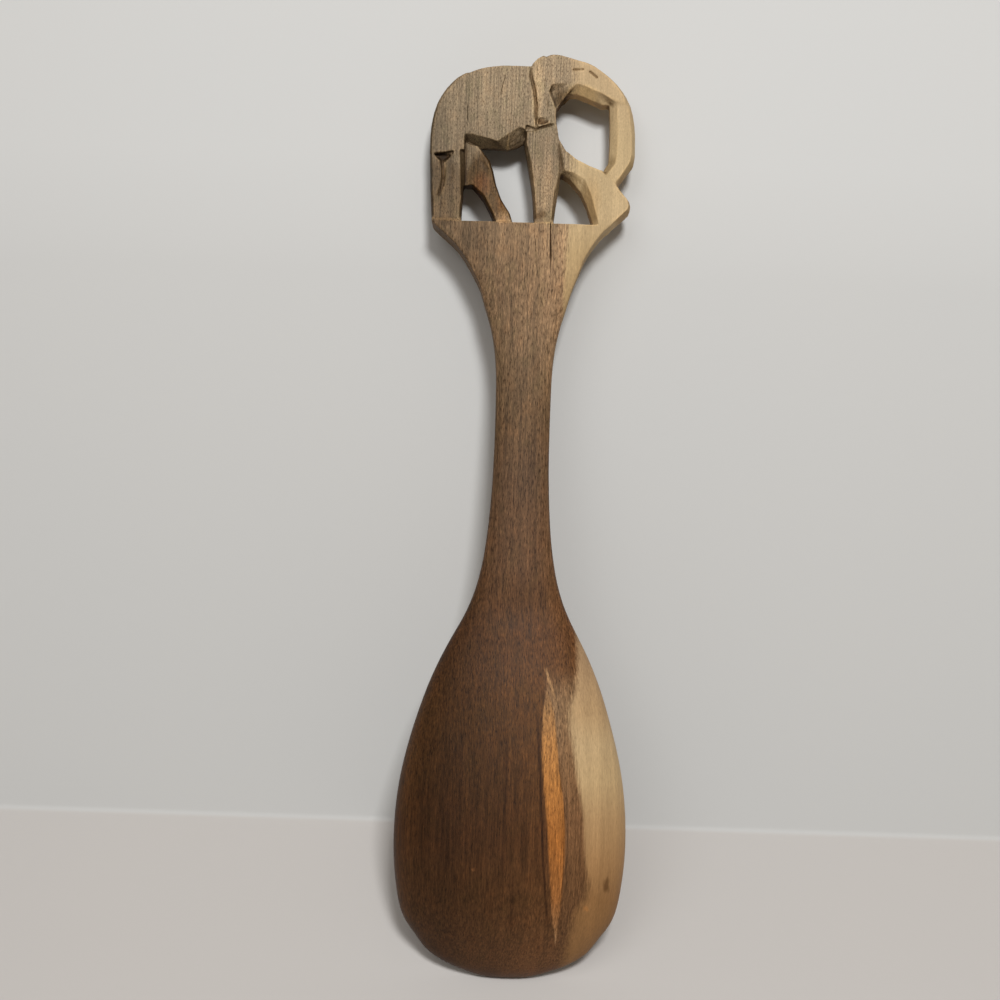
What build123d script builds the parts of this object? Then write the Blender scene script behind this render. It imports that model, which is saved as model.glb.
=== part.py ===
from build123d import *
import os

# Wooden serving spoon carved from one board, with an openwork elephant as its finial.
# It lies hollow down: the rim of the bowl is on z = 0, the bowl's tip points to -Y and
# the elephant stands at +Y, walking to +X. Lengths are in millimetres.

# Whole spoon
overall_length = 305.0
board_thickness = 11.0
overrun = 5.0

# Bowl, measured from its tip to the throat where the hollow has ended
bowl_length = 118.0
bowl_width = 75.4
bowl_height = 16.8
bowl_widest_from_tip = 41.7
throat_width = 32.4
throat_height = 10.6
rim_height = 1.5
edge_ease = 0.6
planed_off = 0.3

# Hollow of the bowl
rim_land = 3.4
bowl_wall = 4.0
hollow_end_wall = 13.0
hollow_sphere_rise = 7.0

# Neck
neck_width = 18.2
neck_thickness = 8.5
neck_arch = 1.7
neck_side = 5.2

# Shoulder
shoulder_height = 40.2
shoulder_start_width = 20.6
shoulder_start_thickness = 9.1
shoulder_start_arch = 1.3
shoulder_left_reach = 32.3
shoulder_right_reach = 27.6
shoulder_side = 10.2

# Finial: the openwork elephant, above the line that it stands on
finial_width = 68.8
finial_height = 58.8
finial_left_reach = 33.8

# Carved thickness of each region, set evenly about the board's middle
hindquarter_thickness = 9.4
flank_thickness = 9.2
ear_thickness = 11.0
head_thickness = 10.4
trunk_thickness = 9.0
foreleg_thickness = 9.2
stepping_foreleg_thickness = 10.2
hind_leg_thickness = 8.6
stepping_hind_leg_thickness = 8.2
tail_thickness = 9.0

# Flat land left between the two carved sides of a region
back_land = 7.4
belly_land = 1.6
head_land = 4.4
trunk_land = 4.2
leg_land = 5.2

# Small carved details
ear_groove_depth = 1.3
ear_front_depth = 0.9
foot_ledge_length = 1.3
notch_depth = 1.8
eye_slit_width = 0.7
eye_slit_depth = 0.8

# A curve between two level handles rises to this share of their height
arch_rise_share = 0.75

tip_y = -overall_length / 2
throat_y = tip_y + bowl_length
feet_y = overall_length / 2 - finial_height
neck_end_y = feet_y - shoulder_height
middle = Plane.XY.offset(board_thickness / 2)

# Plan and profile of the bowl. From tip to widest place: share of that length, share of the
# half width, share of the height. From widest place to throat: share of that length, then
# shares of the way from the throat's size up to the widest size.
bowl_tip_shares = [
    (0.000, 0.150, 0.140),
    (0.012, 0.232, 0.200),
    (0.048, 0.365, 0.315),
    (0.122, 0.565, 0.460),
    (0.200, 0.690, 0.570),
    (0.312, 0.793, 0.700),
    (0.427, 0.886, 0.800),
    (0.655, 0.963, 0.930),
    (1.000, 1.000, 1.000),
]
bowl_root_shares = [
    (0.190, 0.977, 0.985),
    (0.317, 0.912, 0.920),
    (0.444, 0.809, 0.800),
    (0.571, 0.679, 0.640),
    (0.700, 0.520, 0.460),
    (0.828, 0.316, 0.250),
    (0.908, 0.165, 0.130),
    (1.000, 0.000, 0.000),
]
# Neck: share of its length, share of the way from throat width and height to neck size,
# share of the neck's arch above the rim plane.
neck_shares = [
    (0.075, 0.34, 0.15),
    (0.190, 0.66, 0.50),
    (0.340, 0.87, 0.80),
    (0.540, 0.99, 1.00),
    (0.770, 1.00, 1.00),
]
# Shoulder: share of its height, share of the way out to the feet on the left and on the
# right, share of the way from the neck's thickness to the board's.
shoulder_shares = [
    (0.000, 0.000, 0.000, 0.00),
    (0.175, 0.073, 0.085, 0.18),
    (0.325, 0.160, 0.185, 0.40),
    (0.460, 0.236, 0.275, 0.60),
    (0.580, 0.345, 0.380, 0.78),
    (0.680, 0.450, 0.465, 0.89),
    (0.810, 0.630, 0.615, 0.96),
    (0.920, 0.850, 0.795, 0.99),
    (1.000, 1.000, 1.000, 1.00),
]


def between(first, last, way_share):
    """Point on the straight line between two places or shares."""
    return tuple(a + way_share * (b - a) for a, b in zip(first, last))


# Outlines of the elephant: shares of the finial's width from its left edge, and of its
# height above the feet. Neighbours share the same runs. A face run is the edge of the flat
# carved face, inside the full outline by the width of the bevel between them.

# Lines where two regions meet, and where the bevels beside them end
groove_shares = [(0.485, 0.932), (0.484, 0.864), (0.501, 0.770), (0.509, 0.685), (0.510, 0.548)]
ear_crease_shares = [(0.545, 0.986), (0.544, 0.898), (0.558, 0.806), (0.609, 0.670)]
stop_cut_shares = [(0.613, 0.578), (0.510, 0.548), (0.467, 0.537)]
brow_shares = [(0.975, 0.712), (0.869, 0.716)]
touch_shares = [(0.914, 0.235), (0.840, 0.316)]
thigh_line_share = 0.170
hock_line_share = 0.391
back_end_share = between(*groove_shares[:2], 0.24)
crown_start_share = between(*ear_crease_shares[:2], 0.18)
crease_end_share = between(*ear_crease_shares[2:], 0.29)
brow_front_share = between(*brow_shares, 0.19)
brow_rear_share = between(*brow_shares, 0.67)
touch_front_share = between(*touch_shares, 0.12)
touch_rear_share = between(*touch_shares, 0.70)
stop_front_share = between(*stop_cut_shares[:2], 0.05)
stop_rear_share = between(*stop_cut_shares[:0:-1], 0.07)

# Rump and haunch
rump_shares = [(0.001, hock_line_share), (0.000, 0.498), (0.009, 0.600), (0.031, 0.689), (0.067, 0.769),
               (0.119, 0.837), (thigh_line_share, 0.879)]
rump_face_shares = [(0.014, hock_line_share), (0.013, 0.498), (0.021, 0.595), (0.042, 0.680),
                    (0.077, 0.757), (0.126, 0.822), (thigh_line_share, 0.862)]

# Back, side and belly
back_shares = [(thigh_line_share, 0.879), (0.222, 0.905), (0.281, 0.922), (0.379, 0.932), groove_shares[0]]
back_face_shares = [(thigh_line_share, 0.862), (0.224, 0.889), (0.283, 0.906), (0.379, 0.916),
                    back_end_share]
belly_shares = [stop_cut_shares[-1], (0.459, 0.482), (0.422, 0.454), (0.374, 0.438), (0.342, 0.441),
                (0.237, 0.443), (thigh_line_share, 0.469)]
belly_face_shares = [stop_rear_share, (0.432, 0.563), (0.370, 0.512), (0.325, 0.471), (0.297, 0.483),
                     (0.226, 0.506), (thigh_line_share, 0.518)]

# Ear
ear_top_shares = [groove_shares[0], (0.515, 0.966), ear_crease_shares[0]]
ear_loop_shares = [ear_crease_shares[-1], (0.608, 0.628), stop_cut_shares[0]]
ear_left_share = 0.480
ear_ridge_share = 0.528
ear_right_share = 0.615

# Head, over the loop that the trunk closes
head_top_shares = [ear_crease_shares[0], (0.587, 1.000), (0.637, 0.995), (0.695, 0.976), (0.760, 0.954),
                   (0.826, 0.915), (0.890, 0.854), (0.940, 0.784), brow_shares[0]]
head_top_face_shares = [crown_start_share, (0.588, 0.984), (0.635, 0.979), (0.692, 0.960), (0.756, 0.938),
                        (0.819, 0.899), (0.878, 0.839), (0.924, 0.772), brow_front_share]
loop_top_shares = [brow_shares[1], (0.832, 0.713), (0.762, 0.748), (0.709, 0.772), (0.651, 0.769),
                   (0.625, 0.712), ear_crease_shares[-1]]
loop_top_face_shares = [brow_rear_share, (0.829, 0.766), (0.765, 0.798), (0.729, 0.816), (0.656, 0.823),
                        (0.585, 0.812), crease_end_share]
eye_front_shares = [(0.680, 0.900), (0.741, 0.903)]
eye_rear_shares = [(0.762, 0.896), (0.807, 0.854)]

# Trunk
trunk_outer_shares = [brow_shares[0], (0.991, 0.626), (0.999, 0.524), (1.000, 0.415)]
trunk_outer_face_shares = [brow_front_share, (0.970, 0.626), (0.978, 0.524), (0.980, 0.420)]
trunk_tip_shares = [(1.000, 0.415), (0.993, 0.369), touch_shares[0]]
trunk_tip_face_shares = [(0.980, 0.420), (0.974, 0.375), touch_front_share]
trunk_inner_shares = [touch_shares[1], (0.871, 0.374), (0.875, 0.473), (0.875, 0.575), brow_shares[1]]
trunk_inner_face_shares = [touch_rear_share, (0.905, 0.360), (0.913, 0.444), (0.913, 0.575),
                           brow_rear_share]

# Foreleg that steps forward, its knee under the trunk's tip
toe_shares = [touch_shares[0], (0.975, 0.151), (0.983, 0.124), (0.980, 0.094)]
toe_face_shares = [touch_front_share, (0.965, 0.151), (0.971, 0.124), (0.969, 0.100)]
loop_foot_shares = [touch_shares[1], (0.779, 0.342), (0.714, 0.379), (0.664, 0.425), (0.629, 0.493),
                    stop_cut_shares[0]]
armpit_shares = [stop_cut_shares[0], (0.641, 0.303)]
armpit_face_shares = [stop_cut_shares[0], (0.653, 0.310)]
stride_shares = [(0.641, 0.303), (0.688, 0.267), (0.737, 0.199), (0.769, 0.119), (0.805, 0.000)]
stride_face_shares = [(0.653, 0.310), (0.700, 0.300), (0.756, 0.264), (0.791, 0.172), (0.831, 0.000)]

# Upright foreleg
foreleg_left_shares = [stop_cut_shares[-1], (0.459, 0.464), (0.485, 0.313), (0.503, 0.197), (0.519, 0.000)]
foreleg_left_face_shares = [stop_rear_share, (0.469, 0.469), (0.497, 0.347), (0.515, 0.197),
                            (0.531, 0.000)]
foreleg_right_shares = [(0.610, 0.000), (0.629, 0.184), (0.641, 0.303), stop_cut_shares[0]]
foreleg_right_face_shares = [(0.597, 0.000), (0.610, 0.184), (0.633, 0.310), stop_front_share]

# Hind leg that steps forward
stepping_left_shares = [(thigh_line_share, 0.219), (0.212, 0.221), (0.266, 0.148), (0.311, 0.049),
                        (0.333, 0.000)]
stepping_left_face_shares = [(thigh_line_share, 0.226), (0.220, 0.228), (0.276, 0.152), (0.320, 0.053),
                             (0.341, 0.000)]
thigh_shares = [(0.237, 0.443), (thigh_line_share, 0.469), (thigh_line_share, 0.219)]
thigh_face_shares = [between(*thigh_shares[:2], 0.20), thigh_shares[1], (thigh_line_share, 0.226)]
stepping_right_shares = [(0.416, 0.000), (0.400, 0.060), (0.356, 0.145), (0.330, 0.219), (0.312, 0.306),
                         (0.295, 0.364), (0.262, 0.412), thigh_shares[0]]
stepping_right_face_shares = [(0.405, 0.000), (0.389, 0.057), (0.345, 0.142), (0.319, 0.216),
                              (0.301, 0.303), (0.282, 0.361), (0.250, 0.409), thigh_face_shares[0]]

# Upright hind leg with the tail against it
hind_right_shares = [(0.055, hock_line_share), (thigh_line_share, hock_line_share),
                     (thigh_line_share, 0.219), (0.166, 0.099), (0.163, 0.000)]
hind_right_face_shares = [(0.062, hock_line_share), (thigh_line_share, hock_line_share),
                          (thigh_line_share, 0.219), (0.156, 0.099), (0.153, 0.000)]
hind_left_shares = [(0.012, 0.116), (0.011, 0.129)]
hind_left_face_shares = [(0.034, 0.000), (0.024, 0.116), (0.024, 0.134)]
hind_tail_shares = [(0.011, 0.129), (0.052, 0.143), (0.071, 0.216), (0.073, 0.286),
                    (0.055, hock_line_share)]
hind_tail_face_shares = [(0.024, 0.134), (0.056, 0.140), (0.078, 0.214), (0.080, 0.288),
                         (0.062, hock_line_share)]
tail_outer_shares = [(0.055, hock_line_share), (0.001, hock_line_share), (0.006, 0.235), (0.011, 0.129)]
tail_outer_face_shares = [(0.047, hock_line_share), (0.012, hock_line_share), (0.016, 0.235),
                          (0.020, 0.137)]
tail_inner_face_shares = [(0.020, 0.137), (0.044, 0.150), (0.060, 0.216), (0.062, 0.286),
                          (0.047, hock_line_share)]
notch_shares = [(0.017, hock_line_share), (0.113, hock_line_share), (0.064, 0.342)]


def spot(share):
    """Place on the finial: shares of its width and of its height above the feet."""
    return (share[0] * finial_width - finial_left_reach, feet_y + share[1] * finial_height)


def places(*tables):
    """Runs of places on the finial, from tables of shares."""
    return [[spot(share) for share in table] for table in tables]


def outline(height, straight, curved=()):
    """Closed face at a height, from runs of straight edges and runs of one smooth curve each."""
    with BuildSketch(Plane.XY.offset(height)) as face:
        with BuildLine():
            for run in straight:
                Polyline(*run)
            for run in curved:
                Spline(*run)
        make_face()
    return face.sketch


def carve(straight, face_straight, thickness, land, curved=(), face_curved=()):
    """Upper half of a region: half of its flat land, then bevels up to its carved face."""
    centre = board_thickness / 2
    bevel_start = centre + land / 2
    face_level = centre + thickness / 2
    extrude(outline(centre, straight, curved), amount=bevel_start - centre)
    loft([outline(bevel_start, straight, curved), outline(face_level, face_straight, face_curved)],
         ruled=True)


def foot_ledge(left, right, thickness):
    """Sloping ledge at a foot, from the leg's carved face down to the face of the shoulder."""
    centre = board_thickness / 2
    with BuildSketch(Plane.YZ.offset(left)) as ledge:
        with BuildLine():
            Polyline((feet_y, centre), (feet_y, board_thickness - edge_ease),
                     (feet_y + foot_ledge_length, centre + thickness / 2),
                     (feet_y + foot_ledge_length, centre), close=True)
        make_face()
    extrude(ledge.sketch, amount=right - left)


def slit(start, end, level):
    """Narrow cut along a line, as a knife leaves it, up from a level."""
    with BuildSketch(Plane.XY.offset(level)) as cut:
        with BuildLine():
            Line(spot(start), spot(end))
        trace(line_width=eye_slit_width)
    extrude(cut.sketch, amount=overrun, mode=Mode.SUBTRACT)


def notch():
    """Three-cornered pit at the root of the tail, up from its floor."""
    floor = board_thickness / 2 + tail_thickness / 2 - notch_depth
    corners = places(notch_shares + notch_shares[:1])
    extrude(outline(floor, corners), amount=overrun, mode=Mode.SUBTRACT)


def section(y, left, right, bottom, corner, top):
    """Cross-section of bowl, neck or shoulder: flat below, eased edges, arched above its corners."""
    crest = corner + (top - corner) / arch_rise_share
    with BuildSketch(Plane.XZ.offset(-y)) as face:
        with BuildLine():
            Polyline((-left, corner), (-left, bottom + edge_ease), (edge_ease - left, bottom),
                     (right - edge_ease, bottom), (right, bottom + edge_ease), (right, corner))
            Bezier((right, corner), (right, crest), (-left, crest), (-left, corner))
        make_face()
    return face.sketch


def bowl_sections():
    """Sections from the tip to the throat."""
    half = bowl_width / 2
    throat = throat_width / 2
    sections = []
    for along, wide, high in bowl_tip_shares:
        y = tip_y + along * bowl_widest_from_tip
        sections.append(section(y, wide * half, wide * half, -planed_off, rim_height, high * bowl_height))
    for along, wide, high in bowl_root_shares:
        y = tip_y + bowl_widest_from_tip + along * (bowl_length - bowl_widest_from_tip)
        reach = throat + wide * (half - throat)
        top = throat_height + high * (bowl_height - throat_height)
        corner = rim_height + (1 - wide) * (neck_side - rim_height)
        sections.append(section(y, reach, reach, -planed_off, corner, top))
    return sections


def neck_sections():
    """Sections from past the throat to short of the shoulder."""
    throat = throat_width / 2
    sections = []
    for along, narrow, rise in neck_shares:
        y = throat_y + along * (neck_end_y - throat_y)
        reach = throat + narrow * (neck_width / 2 - throat)
        bottom = rise * (neck_arch + planed_off) - planed_off
        corner = rise * neck_arch + neck_side
        top = throat_height + narrow * (neck_arch + neck_thickness - throat_height)
        sections.append(section(y, reach, reach, bottom, corner, top))
    return sections


def shoulder_sections():
    """Sections from the neck's end to the line that the elephant stands on."""
    start = shoulder_start_width / 2
    sections = []
    for along, left_out, right_out, thick in shoulder_shares:
        y = neck_end_y + along * shoulder_height
        left = start + left_out * (shoulder_left_reach - start)
        right = start + right_out * (shoulder_right_reach - start)
        rise = (1 - thick) * shoulder_start_arch
        thickness = shoulder_start_thickness + thick * (board_thickness - shoulder_start_thickness)
        corner = rise + neck_side + thick * (shoulder_side - neck_side)
        sections.append(section(y, left, right, rise - thick * planed_off, corner, rise + thickness))
    return sections


def across(y):
    """Plane square to the spoon's length, facing the elephant."""
    return Plane(origin=(0, y, 0), z_dir=(0, 1, 0))


def hollow_half(direction, reach):
    """One half of the hollow, from the bowl's widest place towards its tip or throat."""
    radius = bowl_height - bowl_wall + hollow_sphere_rise
    spread = (1 - (hollow_sphere_rise / radius) ** 2) ** 0.5
    unit = split(Sphere(1), bisect_by=Plane.XZ, keep=Keep.TOP if direction < 0 else Keep.BOTTOM)
    stretched = scale(unit, by=((bowl_width / 2 - rim_land) / spread, reach / spread, radius))
    return Pos(0, tip_y + bowl_widest_from_tip, -hollow_sphere_rise) * stretched


# Bowl, neck and shoulder are one smooth sweep of sections. Its underside is planed flat where it
# meets the table, and it is sawn across at throat and neck end.
with BuildPart() as body:
    loft(bowl_sections() + neck_sections() + shoulder_sections())
    split(bisect_by=Plane.XY, keep=Keep.TOP)

# Bowl: convex back up, hollow below, widest nearer the tip
hollow = hollow_half(-1, bowl_widest_from_tip - rim_land) + hollow_half(
    1, bowl_length - bowl_widest_from_tip - hollow_end_wall)
with BuildPart() as bowl:
    add(body.part)
    split(bisect_by=across(throat_y), keep=Keep.BOTTOM)
    add(hollow, mode=Mode.SUBTRACT)
bowl.part.label = "bowl"

# Neck: a flat handle with eased edges, arched a little off the table
with BuildPart() as neck:
    add(body.part)
    split(bisect_by=across(throat_y), keep=Keep.TOP)
    split(bisect_by=across(neck_end_y), keep=Keep.BOTTOM)
neck.part.label = "neck"

# Shoulder: flares to the line of the feet
with BuildPart() as shoulder:
    add(body.part)
    split(bisect_by=across(neck_end_y), keep=Keep.TOP)
shoulder.part.label = "shoulder"

# Elephant: each region is carved alike on both sides of the board
with BuildPart() as hindquarter:
    thigh_foot = (thigh_line_share, hock_line_share)
    carve(places([rump_shares[-1], thigh_foot, rump_shares[0]]),
          places([rump_face_shares[-1], thigh_foot, rump_face_shares[0]]),
          hindquarter_thickness, back_land, places(rump_shares), places(rump_face_shares))
    mirror(about=middle)
hindquarter.part.label = "hindquarter"

with BuildPart() as flank:
    carve(places(groove_shares, stop_cut_shares[1:], belly_shares, [belly_shares[-1], back_shares[0]]),
          places([back_end_share] + groove_shares[1:], [stop_cut_shares[1], stop_rear_share],
                 belly_face_shares, [belly_face_shares[-1], back_face_shares[0]]),
          flank_thickness, belly_land, places(back_shares), places(back_face_shares))
    mirror(about=middle)
flank.part.label = "flank"

with BuildPart() as ear:
    ear_runs = places(ear_top_shares, ear_crease_shares, ear_loop_shares, stop_cut_shares[:2],
                      groove_shares)
    extrude(outline(0, ear_runs), amount=board_thickness)
    ear_left = spot((ear_left_share, 0))[0]
    ear_ridge = spot((ear_ridge_share, 0))[0]
    ear_right = spot((ear_right_share, 0))[0]
    half_ear = ear_thickness / 2
    with BuildSketch(Plane.XZ.offset(-overall_length / 2 - overrun)) as roof:
        with BuildLine():
            Polyline((ear_left, board_thickness / 2),
                     (ear_left, board_thickness / 2 + half_ear - ear_groove_depth),
                     (ear_ridge, board_thickness / 2 + half_ear),
                     (ear_right, board_thickness / 2 + half_ear - ear_front_depth),
                     (ear_right, board_thickness / 2), close=True)
        make_face()
        mirror(about=Plane.XZ.offset(-board_thickness / 2))
    extrude(amount=finial_height + 2 * overrun, mode=Mode.INTERSECT)
ear.part.label = "ear"

with BuildPart() as head:
    carve(places(brow_shares, loop_top_shares, ear_crease_shares),
          places([brow_front_share, brow_rear_share], loop_top_face_shares,
                 [crown_start_share] + ear_crease_shares[1:3] + [crease_end_share]),
          head_thickness, head_land, places(head_top_shares), places(head_top_face_shares))
    eye_floor = board_thickness / 2 + head_thickness / 2 - eye_slit_depth
    slit(*eye_front_shares, eye_floor)
    slit(*eye_rear_shares, eye_floor)
    mirror(about=middle)
head.part.label = "head"

with BuildPart() as trunk:
    carve(places(trunk_tip_shares, touch_shares, trunk_inner_shares, brow_shares),
          places(trunk_tip_face_shares, [touch_front_share, touch_rear_share], trunk_inner_face_shares,
                 [brow_front_share, brow_rear_share]),
          trunk_thickness, trunk_land, places(trunk_outer_shares), places(trunk_outer_face_shares))
    mirror(about=middle)
trunk.part.label = "trunk"

with BuildPart() as stepping_foreleg:
    toe_corner = (shoulder_right_reach, feet_y)
    toe_face_corner = (shoulder_right_reach - edge_ease, feet_y)
    carve(places(touch_shares[::-1], loop_foot_shares, armpit_shares, stride_shares)
          + [places(toe_shares)[0] + [toe_corner, spot(stride_shares[-1])]],
          places([touch_shares[1], touch_front_share], loop_foot_shares, armpit_face_shares, stride_face_shares)
          + [places(toe_face_shares)[0] + [toe_face_corner, spot(stride_face_shares[-1])]],
          stepping_foreleg_thickness, leg_land)
    mirror(about=middle)
stepping_foreleg.part.label = "stepping_foreleg"

with BuildPart() as foreleg:
    carve(places(stop_cut_shares, foreleg_left_shares, foreleg_right_shares,
                 [foreleg_left_shares[-1], foreleg_right_shares[0]]),
          places([stop_front_share, stop_cut_shares[1], stop_rear_share], foreleg_left_face_shares,
                 foreleg_right_face_shares,
                 [foreleg_left_face_shares[-1], foreleg_right_face_shares[0]]),
          foreleg_thickness, leg_land)
    foot_ledge(spot(foreleg_left_shares[-1])[0], spot(foreleg_right_shares[0])[0], foreleg_thickness)
    mirror(about=middle)
foreleg.part.label = "foreleg"

with BuildPart() as stepping_hind_leg:
    carve(places(stepping_left_shares, stepping_right_shares, thigh_shares,
                 [stepping_left_shares[-1], stepping_right_shares[0]]),
          places(stepping_left_face_shares, stepping_right_face_shares, thigh_face_shares,
                 [stepping_left_face_shares[-1], stepping_right_face_shares[0]]),
          stepping_hind_leg_thickness, leg_land)
    foot_ledge(spot(stepping_left_shares[-1])[0], spot(stepping_right_face_shares[0])[0],
               stepping_hind_leg_thickness)
    mirror(about=middle)
stepping_hind_leg.part.label = "stepping_hind_leg"

with BuildPart() as hind_leg:
    heel_corner = (-shoulder_left_reach, feet_y)
    carve(places(hind_right_shares, hind_tail_shares)
          + [[spot(hind_right_shares[-1]), heel_corner] + places(hind_left_shares)[0]],
          places(hind_right_face_shares, hind_tail_face_shares)
          + [[spot(hind_right_face_shares[-1])] + places(hind_left_face_shares)[0]],
          hind_leg_thickness, leg_land)
    foot_ledge(heel_corner[0], spot(hind_right_shares[-1])[0], hind_leg_thickness)
    notch()
    mirror(about=middle)
hind_leg.part.label = "hind_leg"

with BuildPart() as tail:
    carve(places(tail_outer_shares, hind_tail_shares),
          places(tail_outer_face_shares, tail_inner_face_shares), tail_thickness, leg_land)
    notch()
    mirror(about=middle)
tail.part.label = "tail"

os.makedirs("parts", exist_ok=True)
for region in (bowl, neck, shoulder, hindquarter, tail, hind_leg, stepping_hind_leg, flank, ear,
               head, trunk, foreleg, stepping_foreleg):
    export_step(region.part, f"parts/{region.part.label}.step")
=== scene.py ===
"""Dressed model of a wooden serving spoon with an openwork elephant as its finial.

The spoon is one carved board, and the CAD nodes are its regions, roughed out to size. Copies of
them are joined into two blanks, worked over as a carver would, and sawn apart again along the
lines where the regions meet. Lengths are in millimetres until Blender takes them.
"""
import logging
import math
from dataclasses import dataclass
from enum import Enum

import bpy
import numpy as np
from mathutils import Matrix, Vector
from mathutils.kdtree import KDTree


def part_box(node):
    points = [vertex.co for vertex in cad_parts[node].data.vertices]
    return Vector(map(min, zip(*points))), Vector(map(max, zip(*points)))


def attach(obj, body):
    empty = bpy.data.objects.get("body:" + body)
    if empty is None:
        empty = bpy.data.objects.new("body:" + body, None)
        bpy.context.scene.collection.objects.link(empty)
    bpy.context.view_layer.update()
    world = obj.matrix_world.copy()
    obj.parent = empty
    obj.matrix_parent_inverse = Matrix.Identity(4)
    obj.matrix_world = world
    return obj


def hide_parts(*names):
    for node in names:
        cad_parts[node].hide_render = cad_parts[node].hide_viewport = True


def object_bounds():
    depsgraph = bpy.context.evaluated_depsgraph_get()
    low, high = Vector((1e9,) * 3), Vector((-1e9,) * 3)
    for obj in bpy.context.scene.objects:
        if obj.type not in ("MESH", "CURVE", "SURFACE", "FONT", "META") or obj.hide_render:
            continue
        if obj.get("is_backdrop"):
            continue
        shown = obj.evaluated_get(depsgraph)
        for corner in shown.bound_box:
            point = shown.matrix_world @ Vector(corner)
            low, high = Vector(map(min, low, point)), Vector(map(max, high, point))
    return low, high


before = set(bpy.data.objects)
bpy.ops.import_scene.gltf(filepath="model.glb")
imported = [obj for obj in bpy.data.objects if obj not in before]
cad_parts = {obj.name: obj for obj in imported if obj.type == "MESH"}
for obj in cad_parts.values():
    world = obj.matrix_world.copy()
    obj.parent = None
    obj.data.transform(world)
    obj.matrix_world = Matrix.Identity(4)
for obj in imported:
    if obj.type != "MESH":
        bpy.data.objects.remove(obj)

MM = 0.001
BODY = "root"
SINKING = "sinking"
CALM_STEPS = 24
SOFT_ANGLE = 50.0
NODES = (
    "bowl", "neck", "shoulder", "hindquarter", "tail", "hind_leg", "stepping_hind_leg", "flank", "ear",
    "head", "trunk", "foreleg", "stepping_foreleg",
)
log = logging.getLogger("carved_spoon")

Point = tuple[float, float]
Place = tuple[float, float, float]
Colour = tuple[int, int, int]
Socket = bpy.types.NodeSocket
Piece = bpy.types.Object


class Slot(Enum):
    """Material slots that the record names."""

    DARK = "dark_heartwood"
    BROWN = "brown_heartwood"
    PALE = "pale_sapwood"


class Cut(Enum):
    """What is left of the wood where a tool meets it."""

    REMOVE = "DIFFERENCE"
    KEEP = "INTERSECT"
    ADD = "UNION"


class Side(Enum):
    """The two faces of the board, as directions from its middle."""

    BACK = 1
    FRONT = -1


def pick(*pieces: Piece) -> None:
    """Selects these objects alone.

    Args:
        pieces: the objects to select; the first becomes the active one.
    """
    if bpy.context.object and bpy.context.object.mode != "OBJECT":
        bpy.ops.object.mode_set(mode="OBJECT")
    bpy.ops.object.select_all(action="DESELECT")
    for piece in pieces:
        piece.select_set(True)
    bpy.context.view_layer.objects.active = pieces[0]


def work_with(piece: Piece, kind: str, **settings: object) -> None:
    """Adds one modifier to a piece and applies it.

    Args:
        piece: the mesh object to change.
        kind: the modifier's type.
        settings: the modifier's own settings.
    """
    pick(piece)
    modifier = piece.modifiers.new(kind.lower(), kind)
    for name, value in settings.items():
        setattr(modifier, name, value)
    bpy.ops.object.modifier_apply(modifier=modifier.name)


def cut(wood: Piece, tool: Piece, action: Cut) -> None:
    """Cuts the wood with a tool, which is used up.

    Args:
        wood: the closed mesh that is cut.
        tool: the closed mesh that cuts it.
        action: whether the wood inside the tool is removed or kept.
    """
    work_with(wood, "BOOLEAN", object=tool, operation=action.value, solver="MANIFOLD")
    bpy.data.objects.remove(tool)


def round_tool(centre: Place, radii: Place, turn: float = 0.0) -> Piece:
    """Makes an ellipsoid to scoop or score the wood with.

    Args:
        centre: its middle, in millimetres.
        radii: its half sizes along its own axes, in millimetres.
        turn: how far it is turned about the upright axis, in radians.

    Returns:
        The tool, with its place in its mesh.
    """
    bpy.ops.mesh.primitive_uv_sphere_add(
        segments=20,
        ring_count=12,
        radius=1.0,
        location=Vector(centre) * MM,
        rotation=(0.0, 0.0, turn),
        scale=Vector(radii) * MM,
    )
    bpy.ops.object.transform_apply(location=True, rotation=True, scale=True)
    return bpy.context.object


def drawn_tool(corners: list[Place], steps: list[Place]) -> Piece:
    """Makes a straight-sided tool by drawing its outline on from place to place.

    Args:
        corners: the corners of its first face, in millimetres.
        steps: how far the outline is drawn on each time, in millimetres.

    Returns:
        The tool, with its place in its mesh.
    """
    bpy.ops.mesh.primitive_circle_add(vertices=len(corners), radius=MM, fill_type="NGON")
    tool = bpy.context.object
    for vertex, corner in zip(tool.data.vertices, corners):
        vertex.co = Vector(corner) * MM
    bpy.ops.object.mode_set(mode="EDIT")
    bpy.ops.mesh.select_all(action="SELECT")
    for step in steps:
        bpy.ops.mesh.extrude_region_move(TRANSFORM_OT_translate={"value": Vector(step) * MM})
    bpy.ops.mesh.select_all(action="SELECT")
    bpy.ops.mesh.normals_make_consistent(inside=False)
    bpy.ops.object.mode_set(mode="OBJECT")
    return tool


def prism_tool(corners: list[Point], low: float, high: float) -> Piece:
    """Makes an upright prism to saw a region out with.

    Args:
        corners: its plan, in millimetres.
        low: the height of its foot, in millimetres.
        high: the height of its top, in millimetres.

    Returns:
        The tool, with its place in its mesh.
    """
    return drawn_tool([(x, y, low) for x, y in corners], [(0.0, 0.0, high - low)])


def rough_out(title: str, nodes: list[str]) -> Piece:
    """Joins copies of CAD nodes into one blank.

    Args:
        title: the blank's name.
        nodes: the CAD nodes that it is made of.

    Returns:
        The blank, its loose triangles merged.
    """
    copies = []
    for node in nodes:
        copy = bpy.data.objects.new(title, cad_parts[node].data.copy())
        bpy.context.scene.collection.objects.link(copy)
        copies.append(copy)
    pick(*copies)
    bpy.ops.object.join()
    blank = bpy.context.object
    blank.data.materials.clear()
    bpy.ops.object.mode_set(mode="EDIT")
    bpy.ops.mesh.select_all(action="SELECT")
    bpy.ops.mesh.remove_doubles(threshold=0.002 * MM)
    bpy.ops.object.mode_set(mode="OBJECT")
    return blank


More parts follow.
